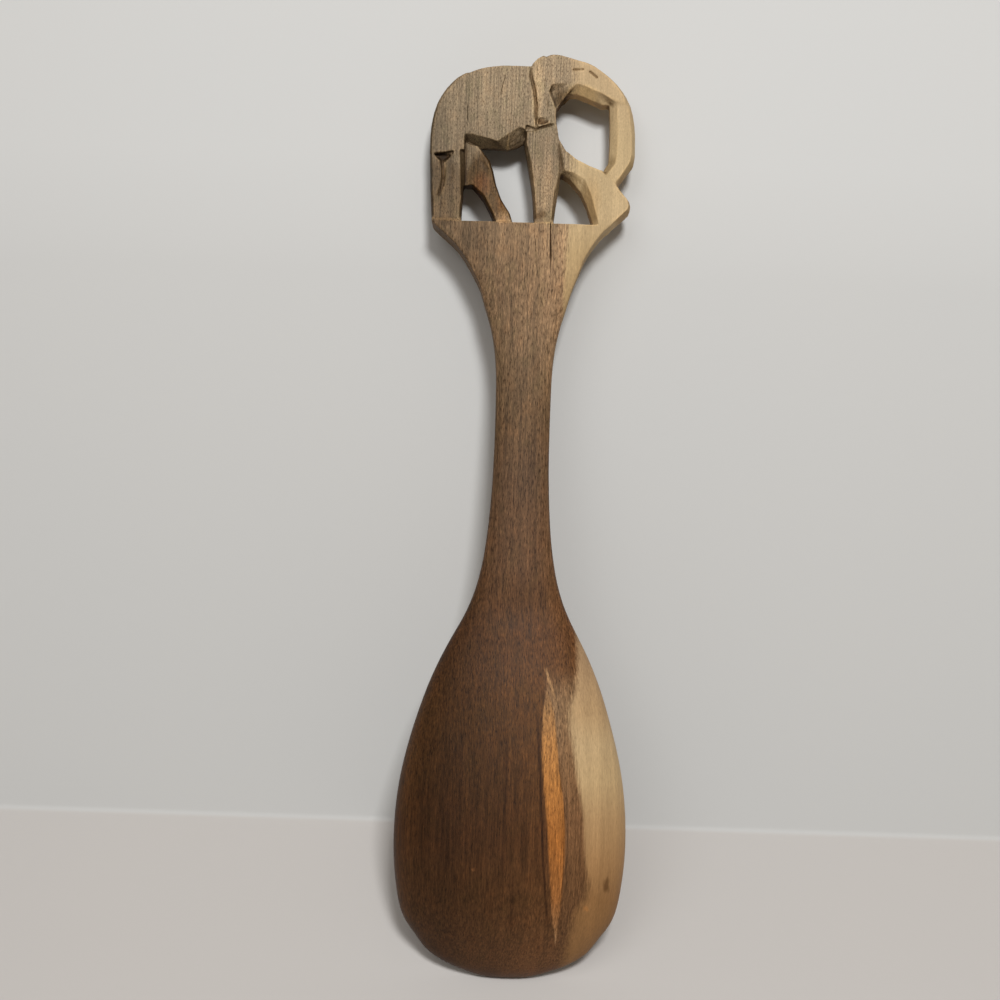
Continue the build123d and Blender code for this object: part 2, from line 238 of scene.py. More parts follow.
def vectors(wood: Piece, kind: str = "co") -> np.ndarray:
    """Reads one vector from each vertex.

    Args:
        wood: the mesh object.
        kind: what is read, co for the places, in metres, or normal.

    Returns:
        One row for each vertex.
    """
    rows = np.empty(len(wood.data.vertices) * 3, np.float32)
    wood.data.vertices.foreach_get(kind, rows)
    return rows.reshape(-1, 3)


def mark(wood: Piece, title: str, shares: np.ndarray) -> str:
    """Marks the surface that is smoothed or that a relief is worked into.

    Args:
        wood: the mesh object.
        title: the name of the mark, a vertex group.
        shares: how much each vertex belongs to it, from 0 to 1.

    Returns:
        The name of the mark.
    """
    steps = np.clip(np.round(shares * 10), 0, 10).astype(int)
    group = wood.vertex_groups.new(name=title)
    for step in range(1, 11):
        members = np.nonzero(steps == step)[0]
        if len(members):
            group.add(members.tolist(), step / 10, "REPLACE")
    return title


def near_line(places: np.ndarray, run: tuple[Point, ...], reach: float) -> np.ndarray:
    """Share that is 1 close to a line and falls to 0 away from it.

    Args:
        places: the vertices, in millimetres.
        run: the line's corners, in millimetres.
        reach: the distance at which the share is 0, in millimetres.

    Returns:
        A share from 0 to 1 for each vertex.
    """
    nearest = np.full(len(places), reach)
    for first, second in zip(run, run[1:]):
        along = np.subtract(second, first)
        away = places[:, :2] - np.array(first)
        way = np.clip(away @ along / (along @ along), 0.0, 1.0)
        away = away - way[:, None] * along
        nearest = np.minimum(nearest, np.hypot(away[:, 0], away[:, 1]))
    return np.clip(2.0 - 2.0 * nearest / reach, 0.0, 1.0)


def keep_inside(wood: Piece) -> None:
    """Planes off what stands out of the CAD model's box by a hair after smoothing.

    Args:
        wood: a worked blank.
    """
    boxes = [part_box(node) for node in NODES]
    low, high = np.min([box[0] for box in boxes], axis=0), np.max([box[1] for box in boxes], axis=0)
    places = np.clip(vectors(wood), low, high)
    wood.data.vertices.foreach_set("co", places.astype(np.float32).ravel())
    wood.data.update()


def note_sinking(wood: Piece) -> None:
    """Notes in an attribute how far each vertex lies below its surroundings, in millimetres.

    Args:
        wood: a worked blank; grooves get numbers above zero and convex edges numbers below.
    """
    mesh = wood.data
    count = len(mesh.vertices)
    places = vectors(wood) / MM
    edges = np.empty(len(mesh.edges) * 2, np.int32)
    mesh.edges.foreach_get("vertices", edges)
    starts, ends = edges[0::2], edges[1::2]
    ties = np.bincount(edges, minlength=count)
    calm = places.copy()
    for _ in range(CALM_STEPS):
        for axis in range(3):
            line = calm[:, axis]
            near = np.bincount(starts, line[ends], count) + np.bincount(ends, line[starts], count)
            calm[:, axis] = near / np.maximum(ties, 1)
    below = np.sum((calm - places) * vectors(wood, "normal"), axis=1)
    mesh.attributes.new(SINKING, "FLOAT", "POINT").data.foreach_set("value", below.astype(np.float32))


def carry_sinking(blank: Piece, pieces: list[Piece]) -> None:
    """Gives each piece the sinking of the nearest place on the blank that it was sawn from.

    Args:
        blank: the worked blank.
        pieces: the pieces sawn from it.
    """
    count = len(blank.data.vertices)
    below = np.empty(count, np.float32)
    blank.data.attributes[SINKING].data.foreach_get("value", below)
    tree = KDTree(count)
    for vertex in blank.data.vertices:
        tree.insert(vertex.co, vertex.index)
    tree.balance()
    for piece in pieces:
        mesh = piece.data
        sunk = mesh.attributes.get(SINKING) or mesh.attributes.new(SINKING, "FLOAT", "POINT")
        sunk.data.foreach_set("value", [below[tree.find(vertex.co)[1]] for vertex in mesh.vertices])


@dataclass(frozen=True)
class Relief:
    """Unevenness that the knife or weathering left in the surface.

    Attributes:
        title: what it is.
        pattern: the procedural texture's type, CLOUDS for drift or VORONOI for scallops.
        spread: the size of one mark across, along and through the board, in millimetres.
        depth: how deep it goes, in millimetres.
    """

    title: str
    pattern: str
    spread: Place
    depth: float

    def work(self, wood: Piece, group: str = "") -> None:
        """Works the relief into a mesh.

        Args:
            wood: the mesh object.
            group: the vertex group that limits it, if any.
        """
        texture = bpy.data.textures.new(self.title, self.pattern)
        texture.noise_scale = 1.0
        if self.pattern == "VORONOI":
            texture.distance_metric = "DISTANCE_SQUARED"
        frame_of_marks = bpy.data.objects.new(self.title, None)
        frame_of_marks.scale = Vector(self.spread) * MM
        bpy.context.scene.collection.objects.link(frame_of_marks)
        bpy.context.view_layer.update()
        work_with(
            wood,
            "DISPLACE",
            texture=texture,
            texture_coords="OBJECT",
            texture_coords_object=frame_of_marks,
            strength=self.depth * MM,
            mid_level=0.5,
            vertex_group=group,
        )
        bpy.data.objects.remove(frame_of_marks)
        bpy.data.textures.remove(texture)


BOARD_DRIFT = Relief("board drift", "CLOUDS", (9.0, 20.0, 9.0), 0.16)


@dataclass(frozen=True)
class Scoop:
    """A shallow hollow that a gouge leaves.

    Attributes:
        centre: its middle, in millimetres.
        radii: the half sizes of the gouge's sweep across, along and into the board, in millimetres.
        depth: how deep it goes into the surface, in millimetres.
        level: the height of the surface above the board's middle, in millimetres.
        turn: how far its length is turned from the grain, in degrees.
        sides: the faces of the board that it is on.
    """

    centre: Point
    radii: Place
    depth: float
    level: float
    turn: float = 0.0
    sides: tuple[Side, ...] = (Side.BACK, Side.FRONT)

    def tools(self, middle: float) -> list[Piece]:
        """Makes the tools that cut it.

        Args:
            middle: the height of the board's middle, in millimetres.

        Returns:
            One tool for each face of the board that it is on.
        """
        rise = self.level + self.radii[2] - self.depth
        turn = math.radians(self.turn)
        heights = [middle + side.value * rise for side in self.sides]
        return [round_tool((*self.centre, height), self.radii, turn) for height in heights]


@dataclass(frozen=True)
class Score:
    """A crack or knife line in the wood, with a wedge-shaped section.

    Attributes:
        run: its corners, in millimetres.
        width: its width at the surface, in millimetres.
        depth: how deep it goes, in millimetres.
        level: the height of the surface above the board's middle, in millimetres.
        sides: the faces of the board that it is on.
        lift: the share of the depth by which the knife rises at both ends.
    """

    run: tuple[Point, ...]
    width: float
    depth: float
    level: float
    sides: tuple[Side, ...] = (Side.BACK, Side.FRONT)
    lift: float = 0.85

    def tools(self, middle: float) -> list[Piece]:
        """Makes the tools that cut it.

        Args:
            middle: the height of the board's middle, in millimetres.

        Returns:
            One tool for each face of the board that it is on.
        """
        heading = (Vector(self.run[-1]) - Vector(self.run[0])).normalized()
        across = Vector((heading.y, -heading.x, 0.0)) * self.width / 2
        down = Vector((0.0, 0.0, self.depth))
        end = self.level + self.lift * self.depth
        levels = [end, *[self.level] * (len(self.run) - 2), end]
        made = []
        for side in self.sides:
            path = [Vector((x, y, middle + side.value * level)) for (x, y), level in zip(self.run, levels)]
            section = [path[0] + across, path[0] + down, path[0] - across, path[0] - down]
            made.append(drawn_tool(section, [after - before for before, after in zip(path, path[1:])]))
        return made


@dataclass(frozen=True)
class Facet:
    """A flat, mostly slanting cut that a knife leaves in the face of the board.

    Attributes:
        corners: its corners in plan and how deep it is at each, in millimetres.
        level: the height of the surface above the board's middle, in millimetres.
        sides: the faces of the board that it is on.
        room: how far the tool stands up from the cut, in millimetres.
    """

    corners: tuple[Place, ...]
    level: float
    sides: tuple[Side, ...] = (Side.BACK, Side.FRONT)
    room: float = 6.0

    def tools(self, middle: float) -> list[Piece]:
        """Makes the tools that cut it.

        Args:
            middle: the height of the board's middle, in millimetres.

        Returns:
            One tool for each face of the board that it is on.
        """
        made = []
        for side in self.sides:
            floor = [(x, y, middle + side.value * (self.level - depth)) for x, y, depth in self.corners]
            made.append(drawn_tool(floor, [(0.0, 0.0, side.value * self.room)]))
        return made


@dataclass(frozen=True)
class Seams:
    """Lines where the regions of the elephant meet, in millimetres from the spoon's middle line.

    Attributes:
        neck_end: where the shoulder begins, along the spoon.
        feet: the line that the elephant stands on.
        hock: the line between the haunch and the hind leg.
        thigh: the line between the haunch and the flank, across the spoon.
        groove: from the foot of the groove behind the ear up to its top.
        crease: from the loop up the front of the ear.
        stop_cut: from the belly to the loop, over the foreleg.
        brow: across the root of the trunk, outwards.
        touch: where the trunk's tip meets the leg, outwards.
        groin: from the haunch to the belly.
        armpit: from the loop down the front of the foreleg.
        tail: from the tail's tip up to its root.
    """

    neck_end: float
    feet: float
    hock: float
    thigh: float
    groove: tuple[Point, ...] = ((1.3, 125.9), (1.2, 134.0), (0.7, 139.0), (-0.5, 144.5), (-0.4, 148.5))
    crease: tuple[Point, ...] = ((8.1, 133.1), (4.6, 141.1), (3.6, 146.5), (3.7, 151.7))
    stop_cut: tuple[Point, ...] = ((-1.7, 125.3), (1.3, 125.9), (8.4, 127.7))
    brow: tuple[Point, ...] = ((26.0, 135.8), (33.3, 135.6))
    touch: tuple[Point, ...] = ((24.0, 112.3), (29.1, 107.5))
    groin: tuple[Point, ...] = ((-22.1, 121.3), (-17.5, 119.7))
    armpit: tuple[Point, ...] = ((8.4, 127.7), (10.3, 111.5))
    tail: tuple[Point, ...] = (
        (-33.0, 101.3), (-30.2, 102.1), (-28.9, 106.4), (-28.8, 110.5), (-30.0, 116.7),
    )

    def healed(self) -> tuple[tuple[Point, ...], ...]:
        """Lists the seams that don't show on the wood.

        Returns:
            Lines along which the carved surface runs on smoothly.
        """
        thigh = ((self.thigh, 120.5), (self.thigh, 151.0))
        hock = ((self.thigh - 3.6, self.hock), (self.thigh + 0.5, self.hock))
        ear_top = ((3.6, 145.0), (3.7, 153.0))
        brow = ((28.6, 135.8), (36.0, 135.6))
        touch = ((26.0, 110.4), (30.5, 106.4))
        armpit = ((9.6, 122.0), (10.3, 112.6))
        tail = ((-32.0, 101.5), *self.tail[1:4], (-29.5, 114.5))
        return (thigh, hock, ear_top, brow, touch, armpit, tail)


@dataclass(frozen=True)
class Region:
    """One region of the board, as it is sawn from a blank.

    Attributes:
        node: the CAD node that it stands for.
        slot: the record's material slot that it takes its finish from.
        plan: the corners of the prism that saws it out, in millimetres.
        room: how far the prism stands out above and below it, in millimetres.
    """

    node: str
    slot: Slot
    plan: list[Point]
    room: float = 6.0

    def saw(self, blank: Piece) -> Piece:
        """Saws the region out of a copy of the blank.

        Args:
            blank: the worked blank, which stays whole.

        Returns:
            The region, smooth but for its sawn walls.
        """
        low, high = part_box(self.node)
        piece = bpy.data.objects.new(self.node + "_wood", blank.data.copy())
        bpy.context.scene.collection.objects.link(piece)
        cut(piece, prism_tool(self.plan, low.z / MM - self.room, high.z / MM + self.room), Cut.KEEP)
        pick(piece)
        bpy.ops.object.shade_smooth_by_angle(angle=math.radians(SOFT_ANGLE))
        piece.vertex_groups.clear()
        return piece


@dataclass
class Carving:
    """The carved end of the board: the elephant and the shoulder that it stands on.

    Attributes:
        seams: the lines where the regions meet.
        voxel: the spacing of the worked surface, in millimetres.
        middle: the height of the board's middle, in millimetres.
        reach: how far out the saws start, in millimetres.
        top: how far up they start, in millimetres.
        heal_reach: how far from a seam the wood is smoothed, in millimetres.
        heal_steps: how often it is smoothed there.
        cracks: the drying cracks, on the back of the board alone.
        knife_work: the cuts that the CAD solids leave out.
    """

    seams: Seams
    voxel: float = 0.27
    middle: float = 5.5
    reach: float = 46.0
    top: float = 160.0
    heal_reach: float = 2.6
    heal_steps: int = 60
    cracks: tuple[Score, ...] = (
        Score(
            ((7.1, 95.6), (7.2, 93.0), (7.4, 87.0), (7.6, 83.0), (7.7, 77.0)), 0.42, 1.4, 5.35, (Side.BACK,)
        ),
        Score(((7.35, 89.5), (7.4, 87.5), (7.6, 83.0), (7.7, 80.0)), 0.62, 1.6, 5.3, (Side.BACK,)),
        Score(((2.4, 88.4), (2.5, 87.0), (2.8, 81.0), (2.9, 79.0)), 0.2, 0.6, 5.3, (Side.BACK,)),
        Score(((-10.8, 137.2), (-10.5, 138.6), (-9.5, 143.2), (-9.0, 144.9)), 0.22, 0.6, 4.6, (Side.BACK,)),
        Score(
            ((-21.6, 134.2), (-21.6, 133.0), (-21.5, 128.8), (-21.3, 127.4)), 0.26, 0.6, 4.65, (Side.BACK,)
        ),
    )
    knife_work: tuple[Score | Scoop | Facet, ...] = (
        Score(
            ((-1.4, 127.3), (0.2, 126.4), (1.6, 125.9), (4.2, 126.7), (6.6, 127.5), (9.2, 128.2)),
            0.9, 1.5, 4.8,
        ),
        Facet(((-1.9, 127.4, 1.3), (1.7, 126.0, 1.5), (1.7, 125.1, 0.4), (-2.1, 124.8, 0.6)), 4.7),
        Score(
            ((1.5, 124.9), (1.3, 130.3), (1.25, 134.6), (0.45, 139.7), (-0.7, 144.0), (-0.7, 151.0)),
            1.2, 1.6, 4.6,
        ),
        Score(((2.6, 130.2), (2.4, 137.0), (1.4, 146.0)), 0.5, 0.35, 5.3),
        Score(((3.7, 130.2), (4.1, 142.0), (3.6, 151.0)), 0.7, 0.55, 5.35),
        Score(((5.2, 130.4), (5.1, 135.5)), 0.5, 0.4, 5.2),
        Scoop((5.6, 134.5), (1.5, 6.0, 1.2), 0.4, 5.2, 14.0),
        Facet((
            (2.0, 128.8, 1.0), (2.7, 129.7, 0.3), (5.8, 129.7, 0.1), (5.4, 128.3, 0.8), (3.9, 127.5, 1.5),
            (2.2, 127.2, 1.5),
        ), 5.3),
        Facet((
            (6.0, 138.8, 0.0), (8.0, 140.9, 0.0), (11.2, 139.6, 0.0), (11.4, 136.0, 2.8),
            (10.2, 134.2, 3.4), (8.6, 133.8, 3.0), (6.9, 136.6, 0.9),
        ), 5.2),
        Facet(((-23.7, 118.2, 0.1), (-21.9, 118.2, 2.0), (-21.5, 102.5, 2.0), (-22.9, 102.5, 0.1)), 4.3),
        Facet(((-22.2, 121.6, 2.1), (-21.8, 102.5, 2.0), (-15.6, 102.5, 0.0), (-15.6, 121.6, 0.0)), 4.1),
        Scoop((-15.4, 112.6), (1.7, 4.8, 1.4), 0.5, 4.1, 30.0),
        Scoop((-11.6, 104.6), (1.9, 4.6, 1.4), 0.5, 4.1, 26.0),
        Scoop((-8.0, 98.8), (1.7, 3.6, 1.4), 0.45, 4.1, 30.0),
        Facet((
            (-32.8, 116.4, 0.3), (-31.2, 116.5, 1.8), (-26.3, 117.6, 2.4), (-25.2, 117.7, 0.4),
            (-28.7, 113.7, 1.0), (-30.2, 115.0, 1.0),
        ), 4.5),
        Score(((-26.6, 117.5), (-25.0, 117.6), (-22.4, 117.4)), 0.5, 0.5, 4.5),
        Scoop((-31.0, 109.0), (1.5, 5.6, 1.7), 0.36, 4.5, 0.0),
        Scoop((-26.6, 110.0), (1.9, 6.0, 1.6), 0.34, 4.3, 0.0),
        Scoop((-29.6, 99.5), (3.0, 4.2, 1.6), 0.3, 4.3, 14.0),
        Score(((-22.1, 127.2), (-22.5, 126.3), (-22.0, 124.8)), 0.5, 0.8, 4.6, (Side.BACK,)),
        Score(((2.6, 95.6), (3.7, 96.3), (4.9, 95.9)), 0.8, 0.7, 4.6, (Side.BACK,)),
        Score(((4.9, 95.9), (5.2, 97.2), (4.7, 98.9)), 0.6, 0.5, 4.6, (Side.BACK,)),
    )

    def build(self) -> Piece:
        """Works the blank of the carved end.

        Returns:
            The worked blank, from which the regions are sawn.
        """
        blank = rough_out("carving_blank", list(NODES[1:]))
        work_with(blank, "REMESH", mode="VOXEL", voxel_size=self.voxel * MM)
        start = self.seams.neck_end - 1.5
        plan = [(-self.reach, start), (self.reach, start), (self.reach, self.top), (-self.reach, self.top)]
        cut(blank, prism_tool(plan, -10.0, 30.0), Cut.KEEP)
        self.heal_seams(blank)
        self.cut_with(blank, self.knife_work)
        work_with(blank, "REMESH", mode="VOXEL", voxel_size=self.voxel * MM)
        work_with(blank, "SMOOTH", factor=0.5, iterations=2)
        self.texture_faces(blank)
        note_sinking(blank)
        self.cut_with(blank, self.cracks)
        keep_inside(blank)
        log.info("carving blank worked: %d faces", len(blank.data.polygons))
        return blank

    def cut_with(self, blank: Piece, strokes: tuple[Score | Scoop | Facet, ...]) -> None:
        """Makes all these cuts at once.

        Args:
            blank: the blank of the carved end.
            strokes: the cuts, whose tools are joined first.
        """
        tools = [tool for stroke in strokes for tool in stroke.tools(self.middle)]
        for tool in tools[1:]:
            cut(tools[0], tool, Cut.ADD)
        cut(blank, tools[0], Cut.REMOVE)

    def heal_seams(self, blank: Piece) -> None:
        """Smooths the seams that the real wood doesn't show.

        Args:
            blank: the blank of the carved end.
        """
        places = vectors(blank) / MM
        shares = np.max([near_line(places, line, self.heal_reach) for line in self.seams.healed()], axis=0)
        group = mark(blank, "healed", shares)
        work_with(blank, "SMOOTH", factor=0.5, iterations=self.heal_steps, vertex_group=group)

    def texture_faces(self, blank: Piece) -> None:
        """Leaves knife facets and weathered grain in the surface, most of it on the elephant.

        Args:
            blank: the blank of the carved end.
        """
        above_feet = vectors(blank)[:, 1] / MM - self.seams.feet
        group = mark(blank, "elephant", np.clip((above_feet - 1.2) / 3.0, 0.2, 1.0))
        Relief("knife facets", "VORONOI", (5.0, 8.0, 5.0), 0.2).work(blank, group)
        Relief("weathered grain", "CLOUDS", (0.6, 6.0, 0.6), 0.16).work(blank, group)
        BOARD_DRIFT.work(blank)

    def regions(self) -> list[Region]:
        """Lays out the saw lines.

        Returns:
            The regions of the carved end, each with its plan.
        """
        lines = self.seams
        left, right, top = -self.reach, self.reach, self.top
        feet, hock, thigh = lines.feet, lines.hock, lines.thigh
        groove_top = (lines.groove[-1][0], top)
        crease_top = (lines.crease[-1][0], top)
        tail_tip = (left, lines.tail[0][1])
        brow_end = (right, lines.brow[1][1])
        touch_end = (right, 102.0)
        loop = (16.0, 124.0)
        between_legs = (-1.7, feet)
        belly = (-9.0, 117.0)
        toe = (10.3, feet)
        return [
            Region("shoulder", Slot.BROWN, [
                (left, lines.neck_end), (right, lines.neck_end), (right, feet), (left, feet)]),
            Region("hindquarter", Slot.BROWN, [(left, hock), (thigh, hock), (thigh, top), (left, top)]),
            Region("tail", Slot.BROWN, [tail_tip, *lines.tail, (left, hock)]),
            Region("hind_leg", Slot.BROWN, [
                (left, feet), (thigh, feet), (thigh, hock), *reversed(lines.tail), tail_tip]),
            Region("stepping_hind_leg", Slot.BROWN, [
                (thigh, feet), between_legs, belly, *reversed(lines.groin)]),
            Region("flank", Slot.BROWN, [
                *lines.groin, belly, *lines.stop_cut[:2], *lines.groove[1:], groove_top, (thigh, top)]),
            Region("ear", Slot.BROWN, [
                *lines.stop_cut[1:], *lines.crease, crease_top, groove_top, *reversed(lines.groove[1:])]),
            Region("head", Slot.PALE, [
                lines.crease[0], loop, *lines.brow, brow_end, (right, top), crease_top,
                *reversed(lines.crease[1:])]),
            Region("trunk", Slot.PALE, [loop, *lines.touch, touch_end, brow_end, *reversed(lines.brow)]),
            Region("foreleg", Slot.BROWN, [
                between_legs, toe, *reversed(lines.armpit), *reversed(lines.stop_cut[:2]), belly]),
            Region("stepping_foreleg", Slot.PALE, [
                toe, (right, feet), touch_end, *reversed(lines.touch), loop, *lines.armpit]),
        ]


@dataclass
class Handle:
    """The plain end of the board: the neck and the bowl.

    Attributes:
        throat: where the bowl ends and the neck begins, in millimetres.
        neck_end: where the neck ends and the shoulder begins, in millimetres.
        voxel: the spacing of the worked surface, in millimetres.
        reach: how far out the saws start, in millimetres.
    """

    throat: float
    neck_end: float
    voxel: float = 0.52
    reach: float = 46.0

    def build(self) -> Piece:
        """Works the blank of the handle and the bowl.

        Returns:
            The worked blank, from which the regions are sawn.
        """
        blank = rough_out("handle_blank", ["bowl", "neck", "shoulder"])
        work_with(blank, "REMESH", mode="VOXEL", voxel_size=self.voxel * MM)
        work_with(blank, "SMOOTH", factor=0.5, iterations=6)
        group = mark(blank, "hollow", self.in_hollow(blank))
        Relief("gouge scallops", "VORONOI", (9.0, 20.0, 9.0), 0.3).work(blank, group)
        BOARD_DRIFT.work(blank)
        note_sinking(blank)
        keep_inside(blank)
        log.info("handle blank worked: %d faces", len(blank.data.polygons))
        return blank

    def in_hollow(self, blank: Piece) -> np.ndarray:
        """Share of the gouge's marks.

        Args:
            blank: the blank of the handle.

        Returns:
            1 inside the hollow, where the surface looks down, and 0 on the rim and elsewhere.
        """
        places = vectors(blank) / MM
        looks_down = vectors(blank, "normal")[:, 2] < -0.2
        above_rim = np.clip((places[:, 2] - 0.8) / 2.0, 0.0, 1.0)
        return above_rim * looks_down * (places[:, 1] < self.throat - 6.0)

    def regions(self) -> list[Region]:
        """Lays out the saw lines.

        Returns:
            The bowl and the neck, each with its plan.
        """
        left, right = -self.reach, self.reach
        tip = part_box("bowl")[0].y / MM - 10.0
        return [
            Region("bowl", Slot.DARK, [
                (left, tip), (right, tip), (right, self.throat), (left, self.throat)]),
            Region("neck", Slot.BROWN, [
                (left, self.throat), (right, self.throat), (right, self.neck_end), (left, self.neck_end)]),
        ]


def linear(colour: Colour) -> tuple[float, float, float, float]:
    """Turns a display colour into the linear one that shaders take.

    Args:
        colour: red, green and blue from 0 to 255.

    Returns:
        Linear red, green, blue and an alpha of 1.
    """
    shares = [value / 255 for value in colour]
    curve = [share / 12.92 if share <= 0.04045 else ((share + 0.055) / 1.055) ** 2.4 for share in shares]
    return (curve[0], curve[1], curve[2], 1.0)


class Bench:
    """Adds and links the nodes of one material."""

    def __init__(self, title: str) -> None:
        """Starts an empty material.

        Args:
            title: the material's name.
        """
        self.material = bpy.data.materials.new(title)
        self.material.use_nodes = True
        self.tree = self.material.node_tree
        self.tree.nodes.clear()

    def node(self, kind: str, inputs: dict[str | int, object], **settings: object) -> bpy.types.Node:
        """Adds a node.

        Args:
            kind: the node's type, without its ShaderNode prefix.
            inputs: a value or a socket for each named or numbered input.
            settings: the node's own settings.

        Returns:
            The new node.
        """
        made = self.tree.nodes.new("ShaderNode" + kind)
        for name, value in settings.items():
            setattr(made, name, value)
        for key, value in inputs.items():
            if isinstance(value, Socket):
                self.tree.links.new(value, made.inputs[key])
            else:
                made.inputs[key].default_value = value
        return made

    def maths(self, operation: str, first: object, second: object = 0.0, third: object = 0.0) -> Socket:
        """Works out one number from others.

        Args:
            operation: the Math node's operation.
            first: its first number or socket.
            second: its second number or socket.
            third: its third number or socket.

        Returns:
            The result's socket.
        """
        return self.node("Math", {0: first, 1: second, 2: third}, operation=operation).outputs[0]

    def times(self, first: object, *others: object) -> Socket:
        """Multiplies numbers.

        Args:
            first: the first number or socket.
            others: the numbers or sockets that it is multiplied by.

        Returns:
            The product's socket.
        """
        for other in others:
            first = self.maths("MULTIPLY", first, other)
        return first

    def apart(self, first: Socket, second: Socket) -> Socket:
        """Works out how far two numbers are apart.

        Args:
            first: the first number.
            second: the second number.

        Returns:
            The distance's socket.
        """
        return self.maths("ABSOLUTE", self.maths("SUBTRACT", first, second))

    def spot(self) -> Socket:
        """Gives the place on the piece, in millimetres."""
        return self.moved(self.node("TexCoord", {}).outputs["Object"], (1 / MM, 1 / MM, 1 / MM))

    def parts(self, vector: Socket) -> list[Socket]:
        """Splits a vector.

        Args:
            vector: the vector's socket.

        Returns:
            The sockets of its three numbers: across, along and through the spoon.
        """
        return list(self.node("SeparateXYZ", {0: vector}).outputs)

    def facing(self) -> list[Socket]:
        """Gives the three numbers of the direction that the surface looks in."""
        return self.parts(self.node("NewGeometry", {}).outputs["Normal"])

    def moved(self, vector: Socket, by: Place, operation: str = "MULTIPLY") -> Socket:
        """Works out one vector from another and three numbers.

        Args:
            vector: the vector's socket.
            by: the three numbers.
            operation: the Vector Math node's operation.

        Returns:
            The result's socket.
        """
        return self.node("VectorMath", {0: vector, 1: by}, operation=operation).outputs[0]

    def noise(self, vector: Socket, by: Place, detail: float = 2.0, rough: float = 0.5) -> Socket:
        """Gives noise from 0 to 1.

        Args:
            vector: the place in the wood.
            by: how many marks there are to a millimetre, across, along and through.
            detail: how many finer layers the noise has.
            rough: how strong they are.

        Returns:
            The noise's socket.
        """
        inputs = {"Vector": self.moved(vector, by), "Scale": 1.0, "Detail": detail, "Roughness": rough}
        return self.node("TexNoise", inputs).outputs[0]

    def rise(self, value: Socket, start: float, end: float) -> Socket:
        """Gives a smooth step.

        Args:
            value: the value that is looked at.
            start: where the step starts, with 0.
            end: where it ends, with 1.

        Returns:
            The step's socket.
        """
        inputs = {"Value": value, "From Min": start, "From Max": end}
        return self.node("MapRange", inputs, interpolation_type="SMOOTHSTEP").outputs[0]

    def within(self, value: Socket, low: float, high: float, soft: float) -> Socket:
        """Gives 1 between two values and 0 outside them.

        Args:
            value: the value that is looked at.
            low: the lower value.
            high: the higher value.
            soft: the width of the soft step at each end.

        Returns:
            The share's socket.
        """
        first = self.rise(value, low - soft / 2, low + soft / 2)
        return self.times(first, self.rise(value, high + soft / 2, high - soft / 2))

    def spread(self, value: Socket, low: float, high: float) -> Socket:
        """Maps 0 to 1 onto another range.

        Args:
            value: the value that is mapped.
            low: what 0 becomes.
            high: what 1 becomes.

        Returns:
            The mapped value's socket.
        """
        return self.node("MapRange", {"Value": value, "To Min": low, "To Max": high}).outputs[0]

    def between(self, share: Socket, first: Socket, second: Socket) -> Socket:
        """Mixes two numbers.

        Args:
            share: how much of the second number there is.
            first: the first number.
            second: the second number.

        Returns:
            The mixed number's socket.
        """
        return self.node("Mix", {0: share, 2: first, 3: second}, data_type="FLOAT").outputs[0]

    def mix(self, share: object, first: object, second: object, blend: str = "MIX") -> Socket:
        """Mixes two colours.

        Args:
            share: how much of the second colour there is.
            first: the first colour.
            second: the second colour.
            blend: how they are mixed.

        Returns:
            The mixed colour's socket.
        """
        inputs = {0: share, 6: first, 7: second}
        return self.node("Mix", inputs, data_type="RGBA", blend_type=blend).outputs[2]

    def tinted(self, share: Socket, colour: Socket, tint: Place) -> Socket:
        """Tints a colour.

        Args:
            share: how much of the tint there is.
            colour: the colour's socket.
            tint: what its linear red, green and blue are multiplied by.

        Returns:
            The tinted colour's socket.
        """
        return self.mix(share, colour, (*tint, 1.0), "MULTIPLY")

    def scaled(self, colour: Socket, by: Socket) -> Socket:
        """Makes a colour lighter or darker.

        Args:
            colour: the colour's socket.
            by: what its light is multiplied by.

        Returns:
            The new colour's socket.
        """
        return self.node("VectorMath", {0: colour, "Scale": by}, operation="SCALE").outputs[0]

    def ramp(self, value: Socket, stops: tuple[tuple[float, Colour], ...]) -> Socket:
        """Gives a colour that varies along the spoon.

        Args:
            value: the place along the spoon, in millimetres.
            stops: places along the spoon and the colour at each.

        Returns:
            The colour's socket.
        """
        low, high = stops[0][0], stops[-1][0]
        share = self.node("MapRange", {"Value": value, "From Min": low, "From Max": high}).outputs[0]
        made = self.node("ValToRGB", {0: share})
        elements = made.color_ramp.elements
        while len(elements) < len(stops):
            elements.new(0.5)
        for element, (place, colour) in zip(elements, stops):
            element.position = (place - low) / (high - low)
            element.color = linear(colour)
        return made.outputs[0]

    def profile(self, value: Socket, points: tuple[Point, ...], reach: float) -> Socket:
        """Gives a number that varies smoothly with another.

        Args:
            value: the number that it varies with.
            points: values of that number, and the result at each, from 0 to reach.
            reach: the largest result that there can be.

        Returns:
            The result's socket.
        """
        low, high = points[0][0], points[-1][0]
        share = self.node("MapRange", {"Value": value, "From Min": low, "From Max": high}).outputs[0]
        made = self.node("FloatCurve", {1: share})
        curve = made.mapping.curves[0]
        while len(curve.points) < len(points):
            curve.points.new(0.5, 0.5)
        for spot, (place, length) in zip(curve.points, points):
            spot.location = ((place - low) / (high - low), length / reach)
        made.mapping.update()
        return self.times(made.outputs[0], reach)


